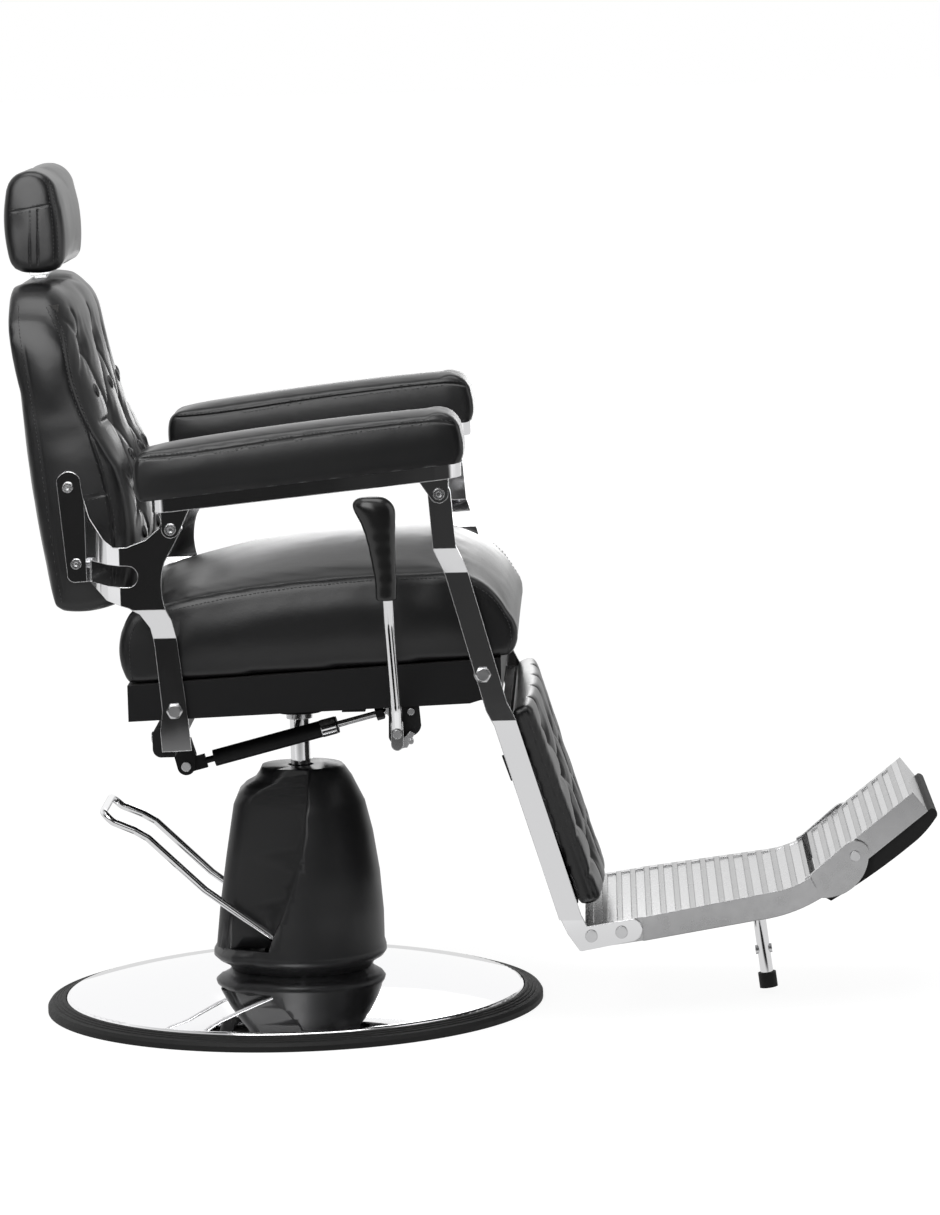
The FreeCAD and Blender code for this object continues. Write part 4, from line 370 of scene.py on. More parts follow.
def drawn_down(points, inset, foot):
    """Like shrunk, but the foot line, a height at X 0 and a slope, stays where it is."""
    xs = [p[0] for p in points]
    middle = (min(xs) + max(xs)) / 2
    width = 1 - 2 * inset / (max(xs) - min(xs))
    tall = max(p[1] - foot[0] - foot[1] * p[0] for p in points)
    placed = []
    for x, z in points:
        base = foot[0] + foot[1] * x
        placed.append((middle + (x - middle) * width, base + (z - base) * (1 - inset / tall)))
    return placed


def set_smooth(mesh):
    for face in mesh.polygons:
        face.use_smooth = True


def smooth_mesh(name, shape):
    """The mesh of a bmesh, which is freed."""
    mesh = bpy.data.meshes.new(name)
    shape.to_mesh(mesh)
    shape.free()
    set_smooth(mesh)
    return mesh


def in_scene(name, mesh, material=None):
    """A new object of the scene around a mesh."""
    if material:
        mesh.materials.append(material)
    obj = bpy.data.objects.new(name, mesh)
    bpy.context.scene.collection.objects.link(obj)
    return obj


def ringed_mesh(name, rings):
    """Closed mesh from rings of points in metres."""
    mesh = bpy.data.meshes.new(name)
    around = len(rings[0])
    verts = [p for ring in rings for p in ring]
    faces = []
    for r in range(len(rings) - 1):
        for i in range(around):
            j = (i + 1) % around
            faces.append((r * around + i, r * around + j, (r + 1) * around + j, (r + 1) * around + i))
    for r in (0, len(rings) - 1):
        middle = sum((Vector(p) for p in rings[r]), Vector()) / around
        verts.append(tuple(middle))
        for i in range(around):
            j = (i + 1) % around
            faces.append((r * around + i, r * around + j, len(verts) - 1))
    mesh.from_pydata(verts, [], faces)
    solid = bmesh.new()
    solid.from_mesh(mesh)
    bmesh.ops.recalc_face_normals(solid, faces=solid.faces)
    solid.to_mesh(mesh)
    solid.free()
    return in_scene(name, mesh)


def corner_drop(y, half, corner):
    """How far a rounded corner lies below the top line, across the chair."""
    past = min(max(abs(y) - (half - corner), 0.0), corner)
    return corner - math.sqrt(corner ** 2 - past ** 2)


def lowered(points, drop, top, depth):
    """Points near the top line brought down by a drop, and those below it by less and less."""
    return [(x, z - drop * min(max((z - (top - depth)) / depth, 0.0), 1.0)) for x, z in points]


def crowned(name, side, middle, half, rim, y_middle=0.0, foot=None, front=None, corner=None):
    """A cushion across the chair: drawn in over its rims, crowned between them."""
    edge, counts = outline(side)
    crown, _ = outline(middle, counts)
    deep = max(rim, front or 0.0)
    body = half - deep
    levels = [half - deep * s for s in RIM_STEPS]
    steps = max(4, round(body / 12))
    levels += [body * (1 - i / steps) for i in range(1, steps + 1)]
    levels = levels + [-y for y in reversed(levels[:-1])]
    rings = []
    for y in levels:
        inset = rim_inset(rim, half - abs(y))
        share = max(0.0, 1 - (y / (half - rim)) ** 2)
        mixed = [(a[0] + (b[0] - a[0]) * share, a[1] + (b[1] - a[1]) * share) for a, b in zip(edge, crown)]
        smaller = drawn_down(mixed, inset, foot) if foot else shrunk(mixed, inset)
        if front:
            smaller = drawn_apart(mixed, rim_inset(front, half - abs(y)), inset)
        if corner:
            smaller = lowered(smaller, corner_drop(y, half, corner), BACK_TOP, 2.6 * corner)
        rings.append([(x / 1000, (y + y_middle) / 1000, z / 1000) for x, z in smaller])
    return ringed_mesh(name, rings)


def applied(obj):
    """Bake the modifiers of a piece into its mesh."""
    graph = bpy.context.evaluated_depsgraph_get()
    baked = bpy.data.meshes.new_from_object(obj.evaluated_get(graph))
    old = obj.data
    obj.modifiers.clear()
    obj.data = baked
    bpy.data.meshes.remove(old)


def remeshed(obj, voxel):
    change = obj.modifiers.new("remesh", "REMESH")
    change.mode = "VOXEL"
    change.voxel_size = voxel
    relax = obj.modifiers.new("relax", "SMOOTH")
    relax.iterations = 1
    applied(obj)


def vectors_of(mesh, what):
    flat = np.empty(len(mesh.vertices) * 3)
    mesh.vertices.foreach_get(what, flat)
    return flat.reshape(-1, 3)


def points_of(obj):
    return vectors_of(obj.data, "co")


def normals_of(obj):
    return vectors_of(obj.data, "normal")


def set_points(obj, points):
    obj.data.vertices.foreach_set("co", points.ravel())
    obj.data.update()


def reach(points, segments):
    """Distance from each 2-D point to the nearest segment."""
    best = np.full(len(points), 1e9)
    for a, b in segments:
        a, b = np.array(a), np.array(b)
        span = b - a
        length = max(float(span @ span), 1e-12)
        t = np.clip(((points - a) @ span) / length, 0, 1)
        best = np.minimum(best, np.linalg.norm(points - (a + t[:, None] * span), axis=1))
    return best


def evened(obj, values, rounds):
    """Vectors on a mesh, averaged with their neighbours, so that only the broad swelling stays."""
    pairs = np.empty(len(obj.data.edges) * 2, dtype=np.int64)
    obj.data.edges.foreach_get("vertices", pairs)
    pairs = pairs.reshape(-1, 2)
    total = len(values)
    touching = np.bincount(pairs.ravel(), minlength=total)[:, None]
    for _ in range(rounds):
        around = np.empty_like(values)
        for axis in range(3):
            around[:, axis] = np.bincount(pairs[:, 0], values[pairs[:, 1], axis], total)
            around[:, axis] += np.bincount(pairs[:, 1], values[pairs[:, 0], axis], total)
        values = 0.35 * values + 0.65 * around / np.maximum(touching, 1)
    return values


def puff(obj, pinned, cap):
    """Let the cover swell and settle between what is sewn or glued down."""
    group = obj.vertex_groups.new(name="held")
    for level in range(11):
        members = np.nonzero(np.round(pinned * 10) == level)[0].tolist()
        if members:
            group.add(members, level / 10, "REPLACE")
    rest = points_of(obj)
    cloth = obj.modifiers.new("cover", "CLOTH")
    cloth.settings.mass = 0.25
    cloth.settings.tension_stiffness = 20
    cloth.settings.compression_stiffness = 20
    cloth.settings.shear_stiffness = 8
    cloth.settings.bending_stiffness = 1.2
    cloth.settings.use_pressure = True
    cloth.settings.uniform_pressure_force = 4.0
    cloth.settings.vertex_group_mass = "held"
    cloth.settings.effector_weights.gravity = 0
    cloth.collision_settings.use_collision = False
    cloth.point_cache.frame_start = 1
    cloth.point_cache.frame_end = SETTLING_FRAMES
    for number in range(1, SETTLING_FRAMES + 1):
        bpy.context.scene.frame_set(number)
    graph = bpy.context.evaluated_depsgraph_get()
    move = vectors_of(obj.evaluated_get(graph).to_mesh(), "co") - rest
    obj.evaluated_get(graph).to_mesh_clear()
    length = np.linalg.norm(move, axis=1)
    move *= np.minimum(1.0, cap / np.maximum(length, 1e-9))[:, None]
    move = evened(obj, move, 14)
    obj.modifiers.clear()
    obj.vertex_groups.clear()
    bpy.context.scene.frame_set(1)
    set_points(obj, rest + move)


def finer(obj, levels=1):
    change = obj.modifiers.new("finer", "SUBSURF")
    change.levels = levels
    change.render_levels = levels
    applied(obj)
    set_smooth(obj.data)


def surface_tree(obj):
    faces = [tuple(p.vertices) for p in obj.data.polygons]
    return BVHTree.FromPolygons([v.co.copy() for v in obj.data.vertices], faces)


def even(points, step):
    """The line through points, resampled at an even step."""
    line = [Vector(p) for p in points]
    placed = [line[0]]
    spare = 0.0
    for a, b in zip(line, line[1:]):
        length = (b - a).length
        at = step - spare
        while at <= length:
            placed.append(a.lerp(b, at / length))
            at += step
        spare = length - (at - step)
    return placed


def rounded(points, cuts=2):
    """Corner-cut a line so that it runs in smooth curves."""
    line = [Vector(p) for p in points]
    for _ in range(cuts):
        new = [line[0]]
        for a, b in zip(line, line[1:]):
            new += [a.lerp(b, 0.25), a.lerp(b, 0.75)]
        new.append(line[-1])
        line = new
    return line


def near_cells(points, marks, size):
    """Indices of the points that share a cell, or a neighbouring one, with a mark."""
    def key(cells):
        return (cells[:, 0] * 4096 + cells[:, 1]) * 4096 + cells[:, 2]

    own = np.floor(points / size).astype(np.int64)
    marked = np.floor(marks / size).astype(np.int64)
    steps = np.array([(a, b, c) for a in (-1, 0, 1) for b in (-1, 0, 1) for c in (-1, 0, 1)])
    wanted = np.unique(key((marked[:, None, :] + steps[None, :, :]).reshape(-1, 3)))
    return np.nonzero(np.isin(key(own), wanted))[0]


def split_near(obj, marks, size):
    """Halve the faces beside the marks, so that a narrow groove keeps its shape."""
    near = set(near_cells(points_of(obj), marks, size).tolist())
    mesh = bmesh.new()
    mesh.from_mesh(obj.data)
    edges = [e for e in mesh.edges if e.verts[0].index in near and e.verts[1].index in near]
    bmesh.ops.subdivide_edges(mesh, edges=edges, cuts=1, use_grid_fill=True)
    mesh.to_mesh(obj.data)
    mesh.free()
    set_smooth(obj.data)


def tree_of(lines):
    """The points of all lines, to find the nearest of."""
    marks = [p for line in lines for p in line]
    tree = KDTree(len(marks))
    for index, p in enumerate(marks):
        tree.insert(p, index)
    tree.balance()
    return tree


def groove(obj, lines, step, depth, width):
    """Press sewn lines into the surface. They are in metres, lie near it and are taken at an even step."""
    lines = [even(line, step) for line in lines]
    marks = np.array([tuple(p) for line in lines for p in line])
    split_near(obj, marks, SPLIT_REACH)
    points = points_of(obj)
    normals = normals_of(obj)
    tree = tree_of(lines)
    for i in near_cells(points, marks, GROOVE_REACH):
        away = tree.find(points[i])[2]
        if away < width * 2.5:
            points[i] -= normals[i] * depth * math.exp(-(away / width) ** 2)
    set_points(obj, points)


def on_surface(tree, line):
    """The line dropped onto the surface, with the normal at each point."""
    placed = []
    for p in line:
        spot, normal, _, away = tree.find_nearest(p)
        if spot is not None and away < 0.04:
            placed.append((spot, normal))
    return placed


def stitches(name, tree, lines, beside=0.0):
    """A run of thread, half sunk in the cover, beside each line."""
    thread = bmesh.new()
    for line in lines:
        spots = on_surface(tree, even(line, (STITCH + STITCH_GAP) / 4))
        for i in range(0, len(spots) - 4, 4):
            (a, na), (b, nb) = spots[i], spots[min(i + 3, len(spots) - 1)]
            run = b - a
            if run.length < 1e-5 or run.length > 0.02:
                continue
            across = run.cross(na).normalized() * beside
            lift = na * THREAD_RADIUS * 0.2
            turn = run.to_track_quat("Z", "Y").to_matrix().to_4x4()
            place_at = Matrix.Translation((a + b) / 2 + across + lift) @ turn
            scale = Matrix.Diagonal((THREAD_RADIUS, THREAD_RADIUS, run.length / 2, 1))
            bmesh.ops.create_icosphere(thread, subdivisions=1, radius=1.0, matrix=place_at @ scale)
    return in_scene(name, smooth_mesh(name, thread), MATERIALS["thread"])


# Covers of the cushions

SEAT_SIDE = [
    (-188, 464.9), (-202, 508, 1), (-194, 546), (-187, 558, 1), (-166, 567), (20, 596, 1), (205, 603),
    (272, 588, 1), (304, 548), (315, 520, 1), (303, 490.2),
]
SEAT_MIDDLE = [
    (-188, 464.9), (-202, 508, 1), (-194, 546), (-187, 562, 1), (-166, 571), (20, 623, 1), (205, 630),
    (272, 606.9, 1), (304, 556.1), (315, 520, 1), (303, 490.2),
]
SEAT_FOOT = (474.61, 0.0515)
SEAT_REAR_FOOT = (-0.1886, 0.4646)  # metres
SEAT_SEAM = [
    (-188, 470), (-190, 520), (-183, 542), (-170, 554), (-137, 564.6), (-27.8, 586.5), (85, 598),
    (164, 601.3), (215, 601.4), (253, 594), (291, 571), (307, 540), (311, 505), (305, 492),
]
BACK_SIDE = [
    (-281, 561), (-305, 700, 1), (-318, 850), (-326.5, 925, 1), (-329, 967), (-325, 976.5, 1),
    (-314, 979), (-296, 979, 1), (-279, 975.5), (-260, 957, 1), (-250, 923), (-235, 836, 1),
    (-193, 746), (-179, 690, 1), (-177, 620), (-179, 590, 1), (-189, 569), (-225, 556, 1), (-262, 553),
    (-273, 555, 1),
]
BACK_MIDDLE = [
    (-281, 560), (-305, 700, 1), (-319, 850), (-327, 925, 1), (-329.5, 968), (-325.5, 977.5, 1),
    (-314, 980), (-292, 980, 1), (-270, 976.5), (-247, 957, 1), (-232, 923), (-211, 836, 1),
    (-180, 746), (-158, 680, 1), (-157, 620), (-166, 588, 1), (-189, 568), (-225, 555, 1), (-262, 551),
    (-273, 553, 1),
]
BACK_TOP = 980.0
BACK_CORNER = 78.0
BACK_HALF = 217.7
BACK_BUTTONS = [
    (896, (-150, -50, 50, 150)), (797, (-100, 0, 100)), (698, (-150, -50, 50, 150)),
    (622, (-100, 0, 100)),
]
BACK_GUSSET = [
    (-262, 977), (-259.3, 966), (-257.8, 952), (-255.1, 931.3), (-250.3, 905.9), (-246.5, 873.6),
    (-243.3, 845), (-239, 827), (-233.9, 809.3), (-228.6, 784.8), (-221.3, 760.2), (-214, 733.1),
    (-208.7, 708), (-204, 680), (-202, 640), (-204, 600), (-210, 566),
]
BACK_WELT = [
    (-253, 963), (-247.5, 931), (-242, 900), (-237, 872), (-230, 838), (-221, 805), (-208.4, 775.8),
    (-197.1, 752), (-186, 722), (-177.5, 697.4), (-174, 667), (-173, 630), (-176, 595), (-188, 572),
]
BACK_REAR = [
    (-314, 974), (-313, 944.2), (-310, 909.7), (-305.5, 875), (-300.5, 840.3), (-295.5, 804.3),
    (-291, 763.2), (-287.1, 724.5), (-284.9, 700), (-280, 650), (-274, 604), (-268, 562),
]
BACK_LEVEL = [(-262, 701.5), (-240, 704.3), (-209, 708)]
BACK_SIDE_FOLDS = [
    ((150, 896), (190, 862)), ((150, 896), (190, 930)), ((150, 698), (190, 730)),
    ((150, 698), (190, 668)), ((100, 797), (186, 797)), ((100, 622), (180, 604)),
]
BACK_OUT = (0.966, 0.0, 0.259)
ACROSS = (0.0, 1.0, 0.0)
UPRIGHT = (0.0, 0.0, 1.0)
HEADREST_SIDE = [
    (-318, 987), (-331, 994, 1), (-336.5, 1010), (-340, 1055, 1), (-336.5, 1095), (-330, 1110, 1),
    (-314, 1119.5), (-301, 1121, 1), (-287, 1118), (-274, 1107, 1), (-267.5, 1088), (-261, 1045, 1),
    (-261, 1010), (-265, 995, 1), (-277, 988), (-297, 986.3, 1),
]
HEADREST_SEAMS = [[(-303.9, 1069), (-304.2, 1050), (-305.5, 1030), (-306.7, 990)],
                  [(-293.5, 1070), (-293.9, 1050), (-295, 1030), (-296.2, 990)]]
HEADREST_FRONT = [(-279, 1112), (-274.5, 1098), (-272, 1074), (-271, 1030), (-272, 994)]
HEADREST_LEVEL = [(-333, 1066), (-306, 1070.5), (-272.4, 1076.2)]
ARM_Y = 285.0
ARM_BOTTOM = (724.0, 0.098)
ARM_SEAM = [
    (-159, 763.6), (-130, 764.5), (-79.6, 769), (46.8, 786), (172.8, 799), (223, 802), (246, 797),
]
PAD_TOP = (297.0, 420.0)
PAD_BOTTOM = (383.5, 148.0)
PAD_LENGTH = math.dist(PAD_TOP, PAD_BOTTOM)
PAD_HALVES = (177.0, 237.0)
PAD_THICK = 40.0
PAD_BUTTONS = [
    (232, (-150, -50, 50, 150)), (172, (-100, 0, 100)), (112, (-125, -42, 42, 125)), (56, (-84, 0, 84)),
]
PAD_SIDE_FOLDS = [
    ((150, 232), (230, 262)), ((150, 232), (222, 205)), ((100, 172), (212, 160)),
    ((125, 112), (200, 92)), ((84, 56), (185, 40)),
]


def armrest_outline(drop):
    low, slope = ARM_BOTTOM
    return [
        (-156, low - 156 * slope), (-162.5, 711, 1), (-165, 718), (-166.7, 740, 1), (-166, 756),
        (-161.5, 767, 1), (-149, 773), (-112, 780 - drop), (45, 799.2 - drop, 1), (205, 813 - drop),
        (238, 809, 1), (250, 786), (252.5, 771, 1), (252, 757), (249.5, 750.5, 1), (241, low + 241 * slope),
    ]


def cover(name, body, node, obj, extra=()):
    """Bind a finished cover to its body in place of the plain solid."""
    obj.data.set_sharp_from_angle(angle=math.radians(55))
    obj.data.materials.clear()
    obj.data.materials.append(MATERIALS["black_leather"])
    obj.name = name
    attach(obj, body)
    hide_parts(node)
    for piece in extra:
        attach(piece, body)


def draw_in(obj, depth):
    """Start a little inside the CAD surface, so the swelling ends on it."""
    set_points(obj, points_of(obj) - normals_of(obj) * depth)


def side_lines(points, y, cuts=2):
    """The same seam on both sides of the chair, in metres."""
    line = rounded([(x / 1000, 0.0, z / 1000) for x, z in points], cuts)
    return [[Vector((p.x, side * y / 1000, p.z)) for p in line] for side in (-1, 1)]


def buttons_and_folds(rows, reach_y, edges):
    """Button places and the folds between them, as points across and up the front."""
    places = [(y, u) for u, ys in rows for y in ys]
    folds = []
    for (u, ys), (lower, lower_ys) in zip(rows, rows[1:]):
        folds += [((y, u), (low_y, lower)) for y in ys for low_y in lower_ys if abs(low_y - y) < reach_y]
    low, high = edges
    folds += [((y, rows[0][0]), (y * 1.04, high)) for y in rows[0][1]]
    folds += [((y, rows[-1][0]), (y, low)) for y in rows[-1][1]]
    return places, folds


def both_sides(folds):
    """Folds of one side of the chair with their mirror images."""
    return [((s * y, u), (s * far_y, far_u)) for (y, u), (far_y, far_u) in folds for s in (-1, 1)]


def front_plan(points, places, folds, up):
    """The points seen from in front, and how far they are from the buttons and from the folds."""
    flat = np.stack([points @ np.array(ACROSS), points @ np.array(up)], axis=1)
    return flat, reach(flat, [(p, p) for p in places]), reach(flat, folds)


def tufted(obj, places, folds, up, out, deep, low, fade):
    """Pull the front in at each button and fold it between them. Returns how firmly that holds the cover."""
    points = points_of(obj)
    front = np.clip((normals_of(obj) @ np.array(out) - 0.25) / 0.35, 0, 1)
    front *= np.clip((fade - np.abs(points @ np.array(ACROSS))) / 0.05, 0.12, 1)
    _, dots, lines = front_plan(points, places, folds, up)
    move = deep * np.exp(-(dots / 0.017) ** 1.6) + low * np.exp(-np.abs(lines / 0.010) ** 1.3)
    points -= (move * front)[:, None] * np.array(out)
    set_points(obj, points)
    return np.maximum(np.exp(-(dots / 0.012) ** 2), 0.75 * np.exp(-(lines / 0.007) ** 2)) * front


def creased(obj, places, folds, up, out):
    """Sharpen the folds once the cover has settled."""
    points = points_of(obj)
    front = np.clip((normals_of(obj) @ np.array(out) - 0.1) / 0.3, 0, 1)
    front *= np.clip((0.2 - np.abs(points @ np.array(ACROSS))) / 0.03, 0.0, 1)
    flat, dots, lines = front_plan(points, places, folds, up)
    move = 0.0018 * np.exp(-(lines / 0.0038) ** 2) + 0.004 * np.exp(-(dots / 0.010) ** 2)
    wrinkle = 0.0006 * np.sin(flat[:, 0] * 310 + 2.1 * np.sin(flat[:, 1] * 90)) * np.exp(-(dots / 0.03) ** 2)
    points -= ((move + wrinkle) * front)[:, None] * np.array(out)
    set_points(obj, points)


def button(name, centre, out):
    """A covered button sunk in its dimple."""
    ball = bmesh.new()
    turn = Vector(out).to_track_quat("Z", "Y").to_matrix().to_4x4()
    size = Matrix.Diagonal((BUTTON_RADIUS, BUTTON_RADIUS, BUTTON_RADIUS * 0.42, 1))
    bmesh.ops.create_uvsphere(ball, u_segments=24, v_segments=12, radius=1.0,
                              matrix=Matrix.Translation(centre) @ turn @ size)
    return in_scene(name, smooth_mesh(name, ball), MATERIALS["black_leather"])


def joined(name, objects):
    """One object from several."""
    whole = bmesh.new()
    for obj in objects:
        whole.from_mesh(obj.data)
    material = objects[0].data.materials[0]
    for obj in objects:
        bpy.data.objects.remove(obj)
    return in_scene(name, smooth_mesh(name, whole), material)


def button_row(name, obj, places, up, out):
    """Buttons dropped onto the cover from in front."""
    tree = surface_tree(obj)
    across, up, out = Vector(ACROSS), Vector(up), Vector(out)
    made = []
    for i, (a, u) in enumerate(places):
        start = across * a + up * u + out
        spot = tree.ray_cast(start, -out)[0]
        if spot is not None:
            made.append(button(f"{name}_{i}", spot - out * 0.0008, out))
    return joined(name, made)


def held_by(obj, lines, width):
    """How firmly the sewn lines hold the cover."""
    tree = tree_of(lines)
    away = np.array([tree.find(p)[2] for p in points_of(obj)])
    return np.exp(-(away / width) ** 2)


def held_below(height, free, fade):
    """1 up to a height of free above the foot, falling to 0 over the next fade."""
    return np.clip(1 - (height - free) / fade, 0, 1)


def seat_cover():
    obj = crowned("seat_cover", SEAT_SIDE, SEAT_MIDDLE, 247, 12, 0.0, SEAT_FOOT)
    remeshed(obj, 0.0055)
    draw_in(obj, 0.0015)
    seams = side_lines(SEAT_SEAM, 246)
    points = points_of(obj)
    foot = SEAT_REAR_FOOT[1] + SEAT_FOOT[1] * (points[:, 0] - SEAT_REAR_FOOT[0])
    held = held_below(points[:, 2] - foot, 0.004, 0.02)
    puff(obj, np.maximum(held, 0.4 * held_by(obj, seams, 0.006)), 0.004)
    finer(obj)
    groove(obj, seams, 0.0012, 0.0021, 0.0020)
    tree = surface_tree(obj)
    threads = stitches("seat_thread", tree, seams, beside=0.0042)
    cover("seat_cover", "seat", "seat_cushion", obj, [threads])


def back_cover():
    obj = crowned("back_cover", BACK_SIDE, BACK_MIDDLE, BACK_HALF, 10, front=18, corner=BACK_CORNER)
    remeshed(obj, 0.005)
    draw_in(obj, 0.0015)
    places, folds = buttons_and_folds(BACK_BUTTONS, 60, (566, 940))
    folds += both_sides(BACK_SIDE_FOLDS)
    places = [(y / 1000, z / 1000) for y, z in places]
    folds = [tuple((y / 1000, z / 1000) for y, z in ends) for ends in folds]
    held = tufted(obj, places, folds, UPRIGHT, BACK_OUT, 0.010, 0.0022, 0.185)
    gusset, rear = side_lines(BACK_GUSSET, 217), side_lines(BACK_REAR, 217)
    level = side_lines(BACK_LEVEL, 217, 0)
    seams = gusset + side_lines(BACK_WELT, 212) + rear
    puff(obj, np.maximum(held, 0.4 * held_by(obj, seams, 0.006)), 0.004)
    finer(obj)
    creased(obj, places, folds, UPRIGHT, BACK_OUT)
    groove(obj, seams, 0.0012, 0.0017, 0.0015)
    groove(obj, level, 0.0012, 0.0012, 0.0014)
    tree = surface_tree(obj)
    threads = stitches("back_thread", tree, gusset + rear + level, beside=0.0036)
    other = stitches("back_thread_2", tree, gusset + level, beside=-0.0036)
    dots = button_row("back_buttons", obj, places, UPRIGHT, BACK_OUT)
    cover("back_cover", "back", "back_cushion", obj, [threads, other, dots])


def headrest_cover():
    obj = crowned("headrest_cover", HEADREST_SIDE, HEADREST_SIDE, 130, 12, front=20)
    remeshed(obj, 0.004)
    draw_in(obj, 0.0015)
    seams = side_lines(HEADREST_SEAMS[0], 129) + side_lines(HEADREST_SEAMS[1], 129)
    front = side_lines(HEADREST_FRONT, 128)
    level = side_lines(HEADREST_LEVEL, 129)
    puff(obj, 0.3 * held_by(obj, front, 0.005), 0.003)
    finer(obj)
    groove(obj, seams + front + level, 0.001, 0.0011, 0.0012)
    tree = surface_tree(obj)
    threads = [stitches("headrest_thread", tree, front + level, beside=0.0032),
               stitches("headrest_thread_2", tree, front + level, beside=-0.0032),
               stitches("headrest_thread_3", tree, seams)]
    cover("headrest_cover", "headrest", "headrest_cushion", obj, threads)


def arm_foot(points):
    """Height of an armrest pad's underside below or above each point, in metres."""
    return (ARM_BOTTOM[0] + ARM_BOTTOM[1] * points[:, 0] * 1000) / 1000


def flattened(obj, middle):
    """Square the lower edge of an armrest cover, where it is stapled under the pad."""
    points = points_of(obj)
    foot = arm_foot(points)
    low = points[:, 2] - foot < 0.0035
    aside = points[:, 1] - middle
    edge = low & (np.abs(aside) > 0.042)
    points[edge, 1] = middle + np.sign(aside[edge]) * 0.0463
    points[low, 2] = foot[low]
    set_points(obj, points)


def arm_covers():
    edge, middle = armrest_outline(3), armrest_outline(0)
    for side, word in ((-1, "right"), (1, "left")):
        obj = crowned(f"armrest_cover_{word}", edge, middle, 47, 8, side * ARM_Y, ARM_BOTTOM)
        remeshed(obj, 0.004)
        draw_in(obj, 0.001)
        line = rounded([(x / 1000, 0.0, z / 1000) for x, z in ARM_SEAM])
        seams = [[Vector((p.x, side * (ARM_Y + across) / 1000, p.z)) for p in line] for across in (-46, 46)]
        points = points_of(obj)
        held = held_below(points[:, 2] - arm_foot(points), 0.003, 0.015)
        puff(obj, np.maximum(held, 0.3 * held_by(obj, seams, 0.005)), 0.002)
        flattened(obj, side * ARM_Y / 1000)
        finer(obj)
        groove(obj, seams, 0.001, 0.0017, 0.0016)
        tree = surface_tree(obj)
        threads = [stitches(f"armrest_thread_{word}_1", tree, seams, beside=0.0032),
                   stitches(f"armrest_thread_{word}_2", tree, seams, beside=-0.0032)]
        cover(f"armrest_cover_{word}", "armrests", f"armrest_pad_{word}", obj, threads)


def on_pad(y, u, out):
    """A point on the legrest: across, up from the foot of the pad and out of its back, in metres."""
    up_x = (PAD_TOP[0] - PAD_BOTTOM[0]) / PAD_LENGTH
    up_z = (PAD_TOP[1] - PAD_BOTTOM[1]) / PAD_LENGTH
    x = PAD_BOTTOM[0] + up_x * u + up_z * out
    z = PAD_BOTTOM[1] + up_z * u - up_x * out
    return x / 1000, y / 1000, z / 1000


def legrest_cover():
    rim = 13.0
    foot = [(rim * s, rim * (1 - math.sqrt(1 - (1 - s) ** 2))) for s in (0, 0.06, 0.18, 0.38, 0.65, 1)]
    between = [(rim + (PAD_LENGTH - 2 * rim) * i / 22, 0) for i in range(1, 22)]
    levels = foot + between + [(PAD_LENGTH - u, inset) for u, inset in foot[::-1]]
    counts = [2, 4, 36, 4, 2, 40]
    rings = []
    for u, inset in levels:
        half = PAD_HALVES[0] + (PAD_HALVES[1] - PAD_HALVES[0]) * u / PAD_LENGTH
        low, high = PAD_THICK - 21, PAD_THICK - 8
        section = [
            (-half, 0), (-half, low), (-half + 4, high - 3.5, 1), (-half + 13, high), (0, PAD_THICK, 1),
            (half - 13, high), (half - 4, high - 3.5, 1), (half, low), (half, 0),
        ]
        placed, _ = outline(section, counts)
        rings.append([on_pad(y, u, out) for y, out in shrunk(placed, inset)])
    obj = ringed_mesh("legrest_cover", rings)
    remeshed(obj, 0.005)
    draw_in(obj, 0.0015)
    origin = Vector(on_pad(0, 0, 0))
    up = (Vector(on_pad(0, 100, 0)) - origin).normalized()
    out = (Vector(on_pad(0, 0, 100)) - origin).normalized()
    base_u = origin.dot(up)
    places, folds = buttons_and_folds(PAD_BUTTONS, 70, (0, PAD_LENGTH))
    folds += both_sides(PAD_SIDE_FOLDS)
    places = [(y / 1000, u / 1000 + base_u) for y, u in places]
    folds = [tuple((y / 1000, u / 1000 + base_u) for y, u in ends) for ends in folds]
    held = tufted(obj, places, folds, up, out, 0.010, 0.003, 0.205)
    behind = held_below((points_of(obj) - np.array(origin)) @ np.array(out), 0.004, 0.006)
    puff(obj, np.maximum(held, behind), 0.004)
    finer(obj)
    creased(obj, places, folds, up, out)
    halves = [(u, PAD_HALVES[0] + 60 * u / PAD_LENGTH) for u in range(6, int(PAD_LENGTH) - 5, 6)]
    seams = [[Vector(on_pad(side * half, u, PAD_THICK - 22)) for u, half in halves] for side in (-1, 1)]
    groove(obj, seams, 0.002, 0.0018, 0.0026)
    tree = surface_tree(obj)
    threads = stitches("legrest_thread", tree, seams, beside=0.0036)
    dots = button_row("legrest_buttons", obj, places, up, out)
    cover("legrest_cover", "legrest", "legrest_pad", obj, [threads, dots])


GRIP_Y = -354.0
# Height, X of the middle, and half the width along and across the chair
GRIP_LEVELS = [
    (580, 150.2, 12.5, 12.5), (583, 150.2, 13.6, 13.6), (597, 150.5, 13.4, 13.4),
    (606, 150.4, 14.4, 14.2), (612, 149.8, 13.8, 13.6), (622, 148.9, 15.2, 14.4),
    (629, 148.2, 15.0, 14.2), (640, 147.4, 16.8, 15), (648, 146.6, 16.8, 14.6),
    (657, 145.6, 18.6, 15.6), (664, 144.8, 18.8, 15.2), (673, 143.6, 21.2, 16), (680, 142.3, 22.2, 16),
    (692, 139.4, 26.0, 16), (699, 137.2, 26.2, 15.4), (704, 135.6, 24.2, 14), (708, 134.6, 20.5, 11.5),
    (711, 134.0, 14.5, 8),
]


